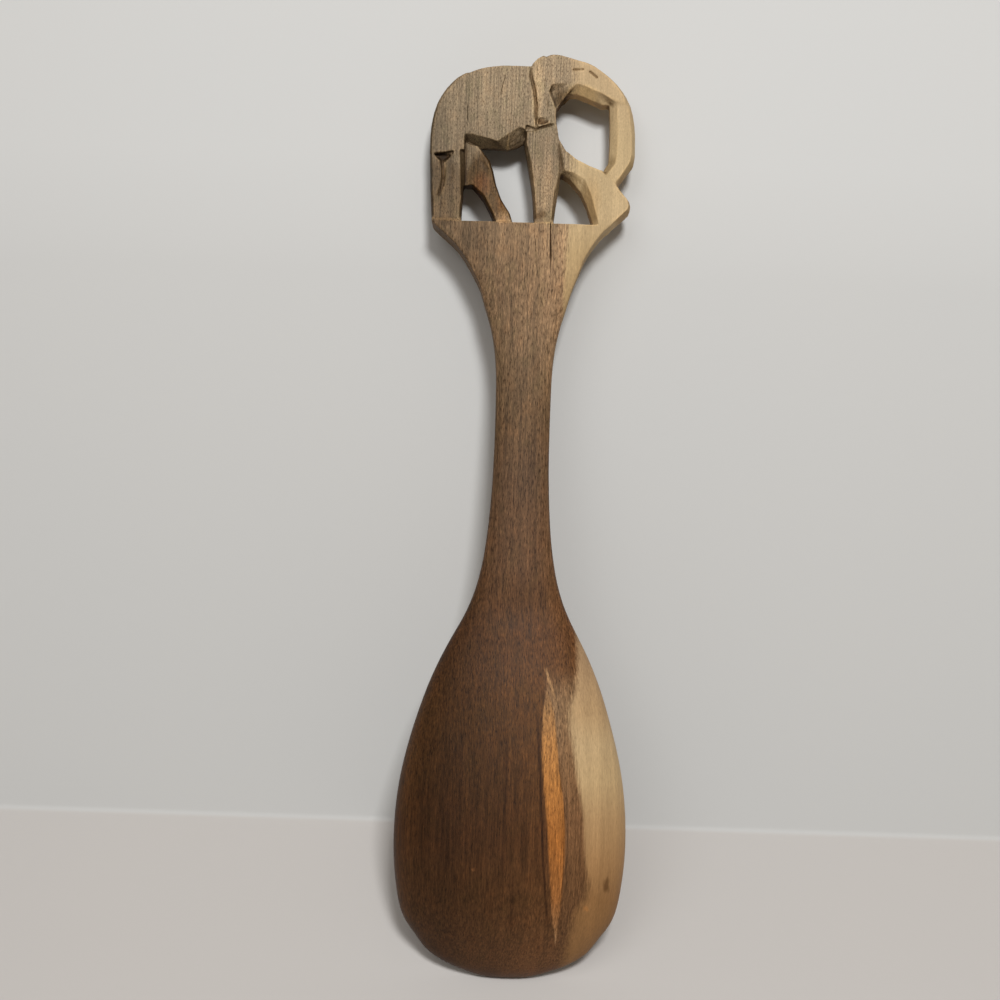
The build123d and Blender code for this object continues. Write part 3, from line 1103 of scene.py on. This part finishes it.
@dataclass(frozen=True)
class TintPatch:
    """A soft-edged patch where the wood is darker or lighter; most are marks in the wood itself, and some
    are painted shade and highlights.

    Attributes:
        centre: its middle in plan, in millimetres.
        radii: its half sizes in plan, in millimetres.
        tint: what it multiplies the wood's linear colour by.
        soft: the share of its size over which it fades.
        level: the height of its middle, in millimetres.
        reach: its half size through the wood, in millimetres.
    """

    centre: Point
    radii: Point
    tint: Place
    soft: float
    level: float = 5.5
    reach: float = 12.0

    def lay(self, bench: Bench, place: Socket, colour: Socket) -> Socket:
        """Lays the patch over the wood's colour.

        Args:
            bench: the material's bench.
            place: the place in the wood, in millimetres.
            colour: the wood's colour.

        Returns:
            The stained colour's socket.
        """
        away = bench.moved(place, (*self.centre, self.level), "SUBTRACT")
        away = bench.moved(away, (*self.radii, self.reach), "DIVIDE")
        distance = bench.node("VectorMath", {0: away}, operation="LENGTH").outputs["Value"]
        return bench.tinted(bench.rise(distance, 1.0 + self.soft, 1.0 - self.soft), colour, self.tint)


@dataclass(frozen=True)
class CarvedWood:
    """Finish of the spoon: brown heartwood with pale sapwood along one side.

    The colours are those of the wood in plain light, and a tint is what the linear colour is
    multiplied by; some patches and tints paint shade, highlights and bounce light over them, as noted
    at each. Places are in millimetres.

    Attributes:
        title: the material's name.
        heartwood: its colour along the spoon.
        sapwood: its colour along the spoon.
        mauve: the colour, along the spoon, of the band between heartwood and sapwood in the bowl.
        orange: the colour of the lens along the spoon.
        bowl_shade: how light the heartwood is across the bowl.
        neck_shade: how light it is across the neck and the shoulder.
        elephant_shade: how light it is across the elephant.
        sapwood_edge: where the sapwood starts across the spoon, along it.
        sapwood_fade: the width of that edge, along the spoon.
        mauve_edge: where the mauve band starts across the spoon, along it.
        lens_left: the left edge of the orange lens, along the spoon.
        lens_right: its right edge.
        dark_line: the thin dark line to its left.
        pore_depth: how strong the pores are, along the spoon.
        tint_patches: the patches that are darker or lighter, most of them marks in the wood and some
            painted shade and highlights.
        light_mottle: the tint of the lighter clouds in the heartwood.
        dark_mottle: the tint of its darker clouds.
        line_tint: the tint of the dark line.
        wisp: the colour of the pale wisp above the lens.
        pale_pore: the tint of the pale dashes.
        dark_pore: the tint of the dark dashes.
        bevel_tint: the tint of the elephant's bevels, partly dirt and partly painted shade.
        haunch_tint: the further tint of those on its hind half, again partly dirt and partly painted shade.
        wall_bounce_tint: the tint of its steep walls, painted warm light bounced from the cloth.
        groove_tint: the tint of what lies below its surroundings, partly dirt and partly painted shade.
        edge_tint: the tint of convex edges, partly rubbed by handling and partly painted highlight.
        ledge_highlight_tint: the tint of the painted highlight on the ledge at the feet, where it looks
            towards the window lamp.
        shine: the specular level.
    """

    title: str
    heartwood: tuple[tuple[float, Colour], ...] = (
        (-152.5, (84, 56, 34)),
        (-138.0, (79, 52, 30)),
        (-125.0, (73, 47, 25)),
        (-106.0, (69, 42, 20)),
        (-88.0, (73, 46, 22)),
        (-69.0, (78, 50, 24)),
        (-56.0, (82, 53, 28)),
        (-43.0, (85, 55, 31)),
        (-29.0, (90, 61, 37)),
        (-19.0, (96, 68, 45)),
        (11.0, (95, 71, 50)),
        (27.0, (101, 77, 53)),
        (40.0, (111, 87, 62)),
        (53.0, (123, 98, 72)),
        (73.0, (132, 105, 77)),
        (93.0, (139, 113, 84)),
        (96.0, (141, 120, 92)),
        (118.0, (129, 112, 89)),
        (136.0, (141, 123, 98)),
        (152.5, (153, 133, 106)),
    )
    sapwood: tuple[tuple[float, Colour], ...] = (
        (-152.5, (132, 96, 58)),
        (-125.0, (142, 104, 64)),
        (-113.0, (163, 125, 83)),
        (-100.0, (176, 142, 100)),
        (-88.0, (191, 162, 119)),
        (-77.0, (191, 163, 122)),
        (-67.0, (179, 148, 108)),
        (-50.0, (168, 137, 102)),
        (60.0, (164, 136, 97)),
        (84.0, (178, 151, 109)),
        (98.0, (190, 165, 125)),
        (122.0, (186, 162, 122)),
        (152.5, (184, 158, 122)),
    )
    mauve: tuple[tuple[float, Colour], ...] = (
        (-138.0, (96, 66, 41)),
        (-113.0, (106, 74, 46)),
        (-100.0, (119, 84, 54)),
        (-88.0, (126, 92, 60)),
        (-67.0, (136, 105, 73)),
        (-47.0, (129, 101, 73)),
        (-35.0, (122, 95, 71)),
    )
    orange: tuple[tuple[float, Colour], ...] = (
        (-140.0, (160, 124, 88)),
        (-135.0, (146, 104, 66)),
        (-125.0, (147, 95, 50)),
        (-107.0, (159, 99, 44)),
        (-90.0, (164, 109, 54)),
        (-77.0, (174, 121, 66)),
        (-66.0, (158, 116, 72)),
        (-60.0, (146, 110, 74)),
    )
    bowl_shade: tuple[Point, ...] = (
        (-38.0, 1.0), (-33.0, 0.93), (-28.0, 0.75), (-23.0, 0.66), (-17.5, 0.68), (-14.5, 0.90),
        (-8.0, 0.97), (-4.5, 0.98), (-1.5, 1.17), (3.0, 1.26), (8.0, 1.48), (38.0, 1.5),
    )
    neck_shade: tuple[Point, ...] = (
        (-36.0, 0.50), (-20.0, 0.57), (-12.0, 0.75), (-8.0, 0.84), (-4.0, 0.96), (0.0, 1.0), (5.0, 1.06),
        (9.0, 1.16), (13.0, 1.26), (36.0, 1.3),
    )
    elephant_shade: tuple[Point, ...] = (
        (-36.0, 0.68), (-28.0, 0.78), (-20.0, 0.96), (-10.0, 1.03), (-1.5, 1.07), (4.0, 1.08), (7.0, 1.0),
        (13.0, 1.0), (36.0, 1.02),
    )
    sapwood_edge: tuple[Point, ...] = (
        (-152.5, 19.0), (-135.0, 20.6), (-128.7, 22.0), (-122.0, 25.2), (-113.0, 24.0), (-100.0, 22.8),
        (-88.0, 20.6), (-77.0, 19.0), (-67.5, 17.6), (-59.6, 19.8), (-47.0, 21.4), (0.0, 22.0),
        (73.0, 13.1), (94.0, 13.6), (125.0, 14.4), (152.5, 14.6),
    )
    sapwood_fade: tuple[Point, ...] = (
        (-152.5, 3.0), (-125.0, 3.0), (-112.0, 0.9), (-95.0, 1.3), (-78.0, 1.6), (-60.0, 1.6),
        (60.0, 1.0), (93.0, 1.4), (112.0, 3.0), (152.5, 3.0),
    )
    mauve_edge: tuple[Point, ...] = (
        (-152.5, 15.0), (-132.0, 16.2), (-115.0, 17.0), (-99.0, 16.6), (-82.0, 14.2), (-70.0, 11.8),
        (-62.0, 10.0), (-45.0, 9.2), (-20.0, 8.8),
    )
    lens_left: tuple[Point, ...] = (
        (-140.5, 15.5), (-132.0, 14.0), (-115.0, 12.4), (-99.0, 11.0), (-83.0, 9.2), (-74.0, 9.0),
        (-66.0, 9.1), (-59.5, 10.4),
    )
    lens_right: tuple[Point, ...] = (
        (-140.5, 15.5), (-132.0, 16.3), (-123.0, 17.0), (-107.0, 17.5), (-99.0, 17.2), (-83.0, 14.9),
        (-74.0, 14.0), (-66.0, 12.8), (-59.5, 10.4),
    )
    dark_line: tuple[Point, ...] = (
        (-140.0, 13.6), (-123.5, 11.6), (-107.0, 10.2), (-91.0, 9.2), (-74.6, 7.9), (-60.0, 6.8),
    )
    tint_patches: tuple[TintPatch, ...] = (
        TintPatch((-28.3, 104.0), (6.6, 12.8), (0.68, 0.64, 0.60), 0.14),
        TintPatch((3.8, 110.0), (4.8, 13.0), (1.13, 1.10, 1.08), 0.3),
        # partly dirt, partly painted shade: the facet beside the belly's notch, which looks down
        TintPatch((-3.4, 121.6), (3.2, 2.6), (0.78, 0.76, 0.76), 0.4),
        # painted bounce light: the bevel and wall at the top of the loop, lightened as if lit from the
        # cloth
        TintPatch((16.5, 138.6), (5.6, 3.0), (1.38, 1.36, 1.26), 0.3),
        # painted shade: the recess between the hind leg and the stepping hind leg
        TintPatch((-22.4, 110.0), (1.3, 7.2), (0.68, 0.64, 0.58), 0.4),
        # painted highlight: the ridge along the tail, between its two hollows
        TintPatch((-28.9, 109.4), (0.55, 5.6), (2.0, 1.95, 1.9), 0.45),
        TintPatch((-7.8, 122.0), (0.4, 2.8), (1.7, 1.65, 1.5), 0.4),
        TintPatch((-13.5, 107.0), (8.6, 12.4), (0.46, 0.38, 0.29), 0.16),
        TintPatch((-15.8, 107.0), (2.6, 3.4), (1.35, 1.05, 0.95), 0.6),
        TintPatch((-8.5, 98.5), (2.6, 4.6), (1.15, 0.96, 0.80), 0.6),
        # painted shade: inside the notch at the root of the tail
        TintPatch((-28.9, 116.1), (2.9, 1.2), (0.42, 0.36, 0.27), 0.35),
        # painted highlight: the raised ridge of the ear
        TintPatch((1.7, 139.5), (1.9, 13.0), (1.72, 1.66, 1.58), 0.4),
        # painted shade: the deep facet in the upper corner of the loop
        TintPatch((10.2, 136.6), (3.3, 3.6), (0.46, 0.40, 0.32), 0.45),
        TintPatch((3.7, 128.2), (2.0, 1.1), (1.1, 0.98, 0.86), 0.4),
        TintPatch((3.9, 96.6), (1.9, 1.6), (0.55, 0.48, 0.40), 0.5),
        TintPatch((20.5, 101.5), (3.0, 8.0), (0.94, 0.88, 0.80), 0.5),
        TintPatch((31.2, -121.0), (1.0, 2.0), (0.50, 0.44, 0.38), 0.6, 8.0),
        TintPatch((24.8, -128.4), (0.8, 0.8), (1.35, 1.20, 1.05), 0.5, 10.0),
        TintPatch((-11.5, -116.4), (0.5, 0.6), (2.2, 2.2, 2.3), 0.5, 14.0),
        TintPatch((-16.2, -87.0), (0.6, 14.0), (0.72, 0.70, 0.68), 0.6, 14.0),
        TintPatch((-2.0, -94.0), (0.6, 26.0), (0.72, 0.70, 0.68), 0.6, 14.0),
        TintPatch((1.2, -126.0), (0.5, 8.0), (0.68, 0.66, 0.64), 0.6, 14.0),
        TintPatch((22.0, 79.0), (3.5, 3.0), (1.0, 0.92, 0.84), 0.6, 8.0),
    )
    pore_depth: tuple[Point, ...] = (
        (-152.5, 0.6), (-110.0, 0.7), (-75.0, 0.95), (-45.0, 1.15), (60.0, 1.15), (92.0, 1.1), (96.0, 0.95),
        (152.5, 0.95),
    )
    light_mottle: Place = (1.08, 1.04, 1.0)
    dark_mottle: Place = (0.91, 0.94, 0.90)
    line_tint: Place = (0.5, 0.46, 0.44)
    wisp: Colour = (162, 124, 84)
    pale_pore: Place = (1.52, 1.51, 1.50)
    dark_pore: Place = (0.40, 0.36, 0.32)
    bevel_tint: Place = (0.74, 0.71, 0.66)
    haunch_tint: Place = (0.60, 0.58, 0.53)
    wall_bounce_tint: Place = (1.05, 0.98, 0.92)
    groove_tint: Place = (0.50, 0.45, 0.39)
    edge_tint: Place = (1.22, 1.20, 1.16)
    ledge_highlight_tint: Place = (1.5, 1.5, 1.45)
    shine: float = 0.16

    def material(self) -> bpy.types.Material:
        """Builds the node material.

        Returns:
            The material, all of whose patterns follow Object coordinates.
        """
        bench = Bench(self.title)
        spot = bench.spot()
        axes = bench.parts(spot)
        drift = bench.noise(spot, (0.05, 0.012, 0.05), 1.0)
        slope = bench.maths("MULTIPLY_ADD", axes[2], -0.3, 3.3)
        across = bench.maths("ADD", axes[0], bench.maths("ADD", slope, bench.spread(drift, -1.5, 1.5)))
        grain = bench.node("CombineXYZ", {0: across, 1: axes[1], 2: axes[2]}).outputs[0]
        dash = bench.noise(grain, (3.2, 0.5, 3.2), 2.0, 0.65)
        fuzz = bench.noise(grain, (3.0, 1.1, 3.0), 2.0, 0.7)
        dash = bench.between(bench.rise(axes[1], 94.0, 95.5), dash, fuzz)
        streak = bench.noise(grain, (1.9, 0.04, 1.9), 3.0, 0.55)
        colour, sap = self.zones(bench, grain, across, axes, streak)
        colour = self.fibres(bench, colour, axes[1], dash, streak, sap)
        ragged = bench.moved(spot, (0.5, 0.25, 0.5))
        ragged = bench.node("TexNoise", {"Vector": ragged, "Scale": 1.0}).outputs[1]
        ragged = bench.moved(bench.moved(ragged, (0.5, 0.5, 0.5), "SUBTRACT"), (2.0, 3.5, 0.0))
        ragged = bench.node("VectorMath", {0: spot, 1: ragged}, operation="ADD").outputs[0]
        for tint_patch in self.tint_patches:
            colour = tint_patch.lay(bench, ragged, colour)
        colour = self.weather_and_shade(bench, colour, axes)
        height = bench.maths("ADD", bench.times(dash, 0.9), bench.times(streak, 0.8))
        bump = bench.node("Bump", {"Strength": 0.5, "Distance": 0.12 * MM, "Height": height})
        bare = bench.rise(axes[1], -60.0, 60.0)
        rough = bench.maths("ADD", bench.spread(streak, 0.44, 0.6), bench.times(bare, 0.12))
        shader = bench.node("BsdfPrincipled", {
            "Base Color": colour,
            "Roughness": rough,
            "Normal": bump.outputs[0],
            "Specular IOR Level": self.shine,
        })
        bench.node("OutputMaterial", {"Surface": shader.outputs[0]})
        return bench.material

    def zones(
        self, bench: Bench, grain: Socket, across: Socket, axes: list[Socket], streak: Socket
    ) -> tuple[Socket, Socket]:
        """Lays the broad zones: heartwood, mauve band, orange lens and sapwood.

        Args:
            bench: the material's bench.
            grain: the place in the wood, with the grain's drift.
            across: the place across the grain, with its drift.
            axes: the place across, along and through the spoon.
            streak: long fine streaks, from 0 to 1.

        Returns:
            The colour of the zones, and the share of sapwood in it.
        """
        x, y = axes[0], axes[1]
        wave = bench.spread(streak, -1.1, 1.1)
        ringed = bench.noise(grain, (0.3, 0.004, 0.1), 2.0)
        heart = bench.ramp(y, self.heartwood)
        shade = bench.profile(x, self.bowl_shade, 2.0)
        shade = bench.between(bench.rise(y, -62.0, -26.0), shade, bench.profile(x, self.neck_shade, 2.0))
        shade = bench.between(bench.rise(y, 93.0, 95.5), shade, bench.profile(x, self.elephant_shade, 2.0))
        heart = bench.scaled(heart, shade)
        heart = bench.scaled(heart, bench.spread(bench.rise(ringed, 0.3, 0.7), 0.90, 1.09))
        mottle = bench.noise(grain, (0.22, 0.14, 0.22), 2.0, 0.6)
        heart = bench.tinted(bench.rise(mottle, 0.5, 0.7), heart, self.light_mottle)
        heart = bench.tinted(bench.rise(mottle, 0.5, 0.3), heart, self.dark_mottle)
        dark = bench.apart(x, bench.profile(y, self.dark_line, 40.0))
        dark = bench.times(bench.rise(dark, 0.6, 0.1), bench.within(y, -133.0, -68.0, 12.0))
        heart = bench.tinted(dark, heart, self.line_tint)
        beyond = bench.maths("SUBTRACT", x, bench.profile(y, self.mauve_edge, 40.0))
        beyond = bench.maths("ADD", beyond, wave)
        share = bench.times(bench.rise(beyond, -0.8, 1.6), bench.within(y, -142.0, -58.0, 14.0))
        heart = bench.mix(share, heart, bench.ramp(y, self.mauve))
        heart = self.lens(bench, heart, axes, wave)
        beyond = bench.maths("SUBTRACT", across, bench.profile(y, self.sapwood_edge, 40.0))
        beyond = bench.maths("ADD", beyond, wave)
        beyond = bench.maths("DIVIDE", beyond, bench.profile(y, self.sapwood_fade, 10.0))
        sap = bench.ramp(y, self.sapwood)
        sap = bench.scaled(sap, bench.spread(bench.rise(ringed, 0.3, 0.7), 0.93, 1.07))
        share = bench.rise(beyond, -1.0, 1.0)
        return bench.mix(share, heart, sap), share

    def lens(self, bench: Bench, colour: Socket, axes: list[Socket], wave: Socket) -> Socket:
        """Lays the orange lens in the back of the bowl, and the pale wisp above it.

        Args:
            bench: the material's bench.
            colour: the colour under it.
            axes: the place across, along and through the spoon.
            wave: a small unevenness of the lens's edges, in millimetres.

        Returns:
            The colour with the lens.
        """
        x, y, z = axes
        small = bench.times(wave, 0.35)
        left = bench.profile(y, self.lens_left, 40.0)
        right = bench.profile(y, self.lens_right, 40.0)
        inside = bench.maths("MINIMUM", bench.maths("SUBTRACT", x, left), bench.maths("SUBTRACT", right, x))
        inside = bench.maths("ADD", inside, small)
        light = bench.spread(bench.rise(inside, 0.0, 1.6), 0.84, 1.06)
        core = bench.scaled(bench.ramp(y, self.orange), light)
        share = bench.times(bench.rise(inside, -0.1, 0.6), bench.rise(bench.facing()[2], 0.0, 0.2))
        colour = bench.mix(share, colour, core)
        wisp = bench.maths("MULTIPLY_ADD", y, -0.34, -8.2)
        wisp = bench.rise(bench.apart(x, wisp), 0.75, 0.15)
        wisp = bench.times(wisp, bench.within(y, -61.5, -53.5, 3.0), bench.rise(z, 9.0, 12.0))
        return bench.mix(wisp, colour, linear(self.wisp))

    def fibres(
        self, bench: Bench, colour: Socket, y: Socket, dash: Socket, streak: Socket, sap: Socket
    ) -> Socket:
        """Lays the pores' short dashes and the long fine streaks.

        Args:
            bench: the material's bench.
            colour: the colour of the zones.
            y: the place along the spoon.
            dash: short marks, from 0 to 1.
            streak: long fine streaks, from 0 to 1.
            sap: the share of sapwood, in which the pores hardly show.

        Returns:
            The colour with its fibres.
        """
        depth = bench.times(bench.profile(y, self.pore_depth, 2.0), bench.spread(sap, 1.0, 0.3))
        pale = bench.times(bench.rise(dash, 0.53, 0.68), depth)
        dark = bench.times(bench.rise(dash, 0.47, 0.32), depth)
        colour = bench.tinted(pale, colour, self.pale_pore)
        colour = bench.tinted(dark, colour, self.dark_pore)
        line = bench.rise(streak, 0.25, 0.75)
        line = bench.between(sap, bench.spread(line, 0.66, 1.34), bench.spread(line, 0.92, 1.07))
        return bench.scaled(colour, line)

    def weather_and_shade(self, bench: Bench, colour: Socket, axes: list[Socket]) -> Socket:
        """Darkens the elephant's bevels and grooves, partly dirt and partly painted shade, lightens its
        convex edges, partly rubbed and partly painted highlight, and paints bounce light on its steep
        walls and a highlight on the ledge at its feet.

        Args:
            bench: the material's bench.
            colour: the wood's colour.
            axes: the place across, along and through the spoon.

        Returns:
            The weathered colour.
        """
        x, y = axes[0], axes[1]
        facing = bench.facing()
        level = bench.maths("ABSOLUTE", facing[2])
        elephant = bench.rise(y, 94.5, 96.5)
        inner = bench.maths("MAXIMUM", bench.rise(x, 27.0, 19.0), bench.rise(y, 119.0, 116.0))
        # partly dirt, partly painted shade: the elephant's slanting bevels are darkened, more so on its
        # hind half
        bevels = bench.times(bench.rise(level, 0.93, 0.72), elephant, inner)
        haunch = bench.times(bevels, bench.rise(x, 4.0, -2.0), bench.rise(y, 134.0, 129.0))
        # painted light: the steep walls are warmed as if lit by light bounced from the cloth
        walls = bench.times(bench.rise(level, 0.4, 0.2), elephant)
        colour = bench.tinted(bevels, colour, self.bevel_tint)
        colour = bench.tinted(haunch, colour, self.haunch_tint)
        colour = bench.tinted(walls, colour, self.wall_bounce_tint)
        sunk = bench.node("Attribute", {}, attribute_name=SINKING).outputs["Fac"]
        # darker in grooves and hollows, partly dirt and partly painted shade; lighter on convex edges,
        # partly rubbed by handling and partly painted highlight
        groove = bench.times(bench.rise(sunk, 0.03, 0.24), elephant)
        edge = bench.times(bench.rise(sunk, -0.05, -0.30), elephant)
        colour = bench.tinted(groove, colour, self.groove_tint)
        colour = bench.tinted(edge, colour, self.edge_tint)
        # painted highlight: the ledge at the feet, on the faces that look along the spoon towards the
        # window lamp
        ledge = bench.times(
            bench.rise(facing[1], 0.25, 0.5), bench.within(y, 93.3, 94.7, 0.3), bench.rise(level, 0.2, 0.5)
        )
        return bench.tinted(ledge, colour, self.ledge_highlight_tint)


@dataclass(frozen=True)
class Lamp:
    """One square area lamp that looks at the middle of the spoon.

    Attributes:
        title: its name.
        height: how high it stands above the horizon, in degrees.
        turn: how far it is turned from +Y towards +X, in degrees.
        distance: how far it is from the spoon, in metres.
        size: the length of its side, in metres.
        share: the share of the light on a flat surface that comes from it.
    """

    title: str
    height: float
    turn: float
    distance: float
    size: float
    share: float

    def hang(self) -> None:
        """Adds the lamp to the scene."""
        height, turn = math.radians(self.height), math.radians(self.turn)
        flat = math.cos(height)
        towards = Vector((flat * math.sin(turn), flat * math.cos(turn), math.sin(height)))
        lamp = bpy.data.lights.new(self.title, "AREA")
        lamp.shape = "SQUARE"
        lamp.size = self.size
        lamp.energy = self.share * math.pi ** 2 * self.distance ** 2 / math.sin(height)
        holder = bpy.data.objects.new(self.title, lamp)
        holder.location = towards * self.distance
        holder.rotation_euler = towards.to_track_quat("Z", "Y").to_euler()
        bpy.context.scene.collection.objects.link(holder)


@dataclass(frozen=True)
class Fold:
    """A line across the cloth at which it turns.

    Attributes:
        along: its place along the spoon, in millimetres.
        height: its height, in millimetres.
        width: the width of its rounding to either side, in metres.
        steps: the number of faces in its rounding.
    """

    along: float
    height: float
    width: float
    steps: int

    def place(self) -> Vector:
        """Gives its point on the middle line, in metres."""
        return Vector((0.0, self.along, self.height)) * MM

    def take(self, floor: Piece) -> None:
        """Selects its edge and leaves the cloth in edit mode.

        Args:
            floor: the cloth.
        """
        bpy.ops.object.mode_set(mode="EDIT")
        bpy.ops.mesh.select_mode(type="EDGE")
        bpy.ops.mesh.select_all(action="DESELECT")
        bpy.ops.object.mode_set(mode="OBJECT")
        corners, place = floor.data.vertices, self.place()
        for edge in floor.data.edges:
            edge.select = all((corners[end].co - place).yz.length < MM / 10 for end in edge.vertices)
        bpy.ops.object.mode_set(mode="EDIT")

    def round_off(self, floor: Piece) -> None:
        """Rounds the cloth at this line.

        Args:
            floor: the cloth.
        """
        self.take(floor)
        bpy.ops.mesh.bevel(offset=self.width, segments=self.steps)


@dataclass
class Studio:
    """A plain pale cloth as floor and backdrop, soft light and the camera.

    Attributes:
        floor_colour: the cloth's colour in plain light.
        floor_drift: the colour that it drifts to.
        floor_tint: what the linear colour of the floor is multiplied by, before it folds up.
        cloth_size: how wide the cloth is, and how far it goes on in front of the crease, in metres.
        cloth_end: how far it goes on beyond the bend, in metres.
        crease: the fold behind the spoon, between floor and backdrop.
        bend: the fold that the finial leans over.
        lamps: the window beyond the elephant and another one to its left.
        fill: the share of the light that comes from all round.
        fill_colour: the linear colour of that light.
        lens: the camera's focal length, in millimetres.
        tilt: how far the camera leans back from looking straight down, in degrees.
        roll: how far it is turned about its own line of sight, in degrees.
        camera_place: where it stands, in millimetres.
    """

    floor_colour: Colour = (204, 205, 204)
    floor_drift: Colour = (206, 206, 204)
    floor_tint: Place = (0.93, 0.89, 0.87)
    cloth_size: float = 4.0
    cloth_end: float = 2.5
    crease: Fold = Fold(along=-111.5, height=-50.0, width=0.002, steps=6)
    bend: Fold = Fold(along=100.0, height=-4.0, width=0.02, steps=10)
    lamps: tuple[Lamp, ...] = (
        Lamp("window", height=66.0, turn=17.0, distance=1.1, size=0.20, share=0.67),
        Lamp("far window", height=58.0, turn=-38.0, distance=1.3, size=0.8, share=0.17),
    )
    fill: float = 0.16
    fill_colour: Place = (1.0, 0.84, 0.68)
    lens: float = 50.0
    tilt: float = 4.925
    roll: float = 1.827
    camera_place: Place = (-6.6, -37.74, 461.7)

    def build(self) -> None:
        """Sets the cloth, the light and the camera."""
        self.set_cloth()
        self.set_light()
        self.set_camera()
        log.info("studio set")

    def set_cloth(self) -> None:
        """Lays the cloth under the bowl's tip and folds it up behind the spoon, to the finial."""
        tip = Vector((0.0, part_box("bowl")[0].y, 0.0))
        crease, bend = self.crease.place(), self.bend.place()
        away = (crease - tip).normalized()
        bpy.ops.object.select_all(action="DESELECT")
        bpy.ops.mesh.primitive_plane_add(
            size=self.cloth_size,
            location=crease - away * self.cloth_size / 2,
            rotation=(math.atan2(away.z, away.y), 0.0, 0.0),
        )
        floor = bpy.context.object
        bpy.ops.object.transform_apply(location=True, rotation=True)
        floor.name = "floor"
        self.crease.take(floor)
        bpy.ops.mesh.extrude_region_move(TRANSFORM_OT_translate={"value": bend - crease})
        self.bend.take(floor)
        bpy.ops.mesh.extrude_region_move(TRANSFORM_OT_translate={"value": (0.0, self.cloth_end, 0.0)})
        self.bend.round_off(floor)
        self.crease.round_off(floor)
        bpy.ops.object.mode_set(mode="OBJECT")
        bpy.ops.object.shade_smooth_by_angle(angle=math.radians(40.0))
        floor.data.materials.append(self.paint())
        floor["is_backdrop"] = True

    def paint(self) -> bpy.types.Material:
        """Builds the cloth's material.

        Returns:
            The material.
        """
        bench = Bench("floor_paint")
        drift = bench.noise(bench.spot(), (0.01, 0.01, 0.01))
        colour = bench.mix(drift, linear(self.floor_colour), linear(self.floor_drift))
        colour = bench.tinted(bench.rise(bench.facing()[1], 0.2, 0.6), colour, self.floor_tint)
        inputs = {"Base Color": colour, "Roughness": 0.9, "Specular IOR Level": 0.1}
        shader = bench.node("BsdfPrincipled", inputs)
        bench.node("OutputMaterial", {"Surface": shader.outputs[0]})
        return bench.material

    def set_light(self) -> None:
        """Hangs the lamps and fills the shadows from all round."""
        for lamp in self.lamps:
            lamp.hang()
        world = bpy.data.worlds.new("room")
        bpy.context.scene.world = world
        world.use_nodes = True
        background = world.node_tree.nodes["Background"]
        background.inputs["Color"].default_value = (*self.fill_colour, 1.0)
        background.inputs["Strength"].default_value = self.fill

    def set_camera(self) -> None:
        """Places the camera where the photograph was taken from."""
        tilt, roll = math.radians(self.tilt), math.radians(self.roll)
        right = Vector((1.0, 0.0, 0.0))
        up = Vector((0.0, math.cos(tilt), math.sin(tilt)))
        towards = Vector((0.0, math.sin(tilt), -math.cos(tilt)))
        side = math.cos(roll) * right + math.sin(roll) * up
        head = math.cos(roll) * up - math.sin(roll) * right
        camera = bpy.data.cameras.new("camera")
        camera.lens = self.lens
        camera.sensor_width = 36.0
        camera.clip_start = 0.01
        holder = bpy.data.objects.new("camera", camera)
        turned = Matrix((side, head, -towards)).transposed().to_4x4()
        holder.matrix_world = Matrix.Translation(Vector(self.camera_place) * MM) @ turned
        bpy.context.scene.collection.objects.link(holder)
        bpy.context.scene.camera = holder


def hand_over(piece: Piece, region: Region, wood: bpy.types.Material) -> None:
    """Dresses a piece and sets it in the frame in place of its CAD node.

    Args:
        piece: the finished mesh object.
        region: the region that it stands for.
        wood: its material.
    """
    piece.data.materials.clear()
    piece.data.materials.append(wood)
    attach(piece, BODY)
    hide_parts(region.node)
    log.info("%s: %d faces", region.node, len(piece.data.polygons))


def main() -> None:
    logging.basicConfig(level=logging.INFO, format="%(message)s")
    cad_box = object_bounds()
    seams = Seams(
        neck_end=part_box("shoulder")[0].y / MM,
        feet=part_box("foreleg")[0].y / MM,
        hock=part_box("hindquarter")[0].y / MM,
        thigh=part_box("flank")[0].x / MM,
    )
    woods = {slot: CarvedWood(slot.value).material() for slot in Slot}
    for part in (Carving(seams), Handle(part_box("bowl")[1].y / MM, seams.neck_end)):
        blank = part.build()
        regions = part.regions()
        pieces = [region.saw(blank) for region in regions]
        carry_sinking(blank, pieces)
        for piece, region in zip(pieces, regions):
            hand_over(piece, region, woods[region.slot])
        bpy.data.objects.remove(blank)
    Studio().build()
    bpy.context.scene.view_settings.view_transform = "Standard"
    boxes = {"cad": cad_box, "visual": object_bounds()}
    boxes = {name: [list(corner) for corner in box] for name, box in boxes.items()}


if __name__ == "__main__":
    main()
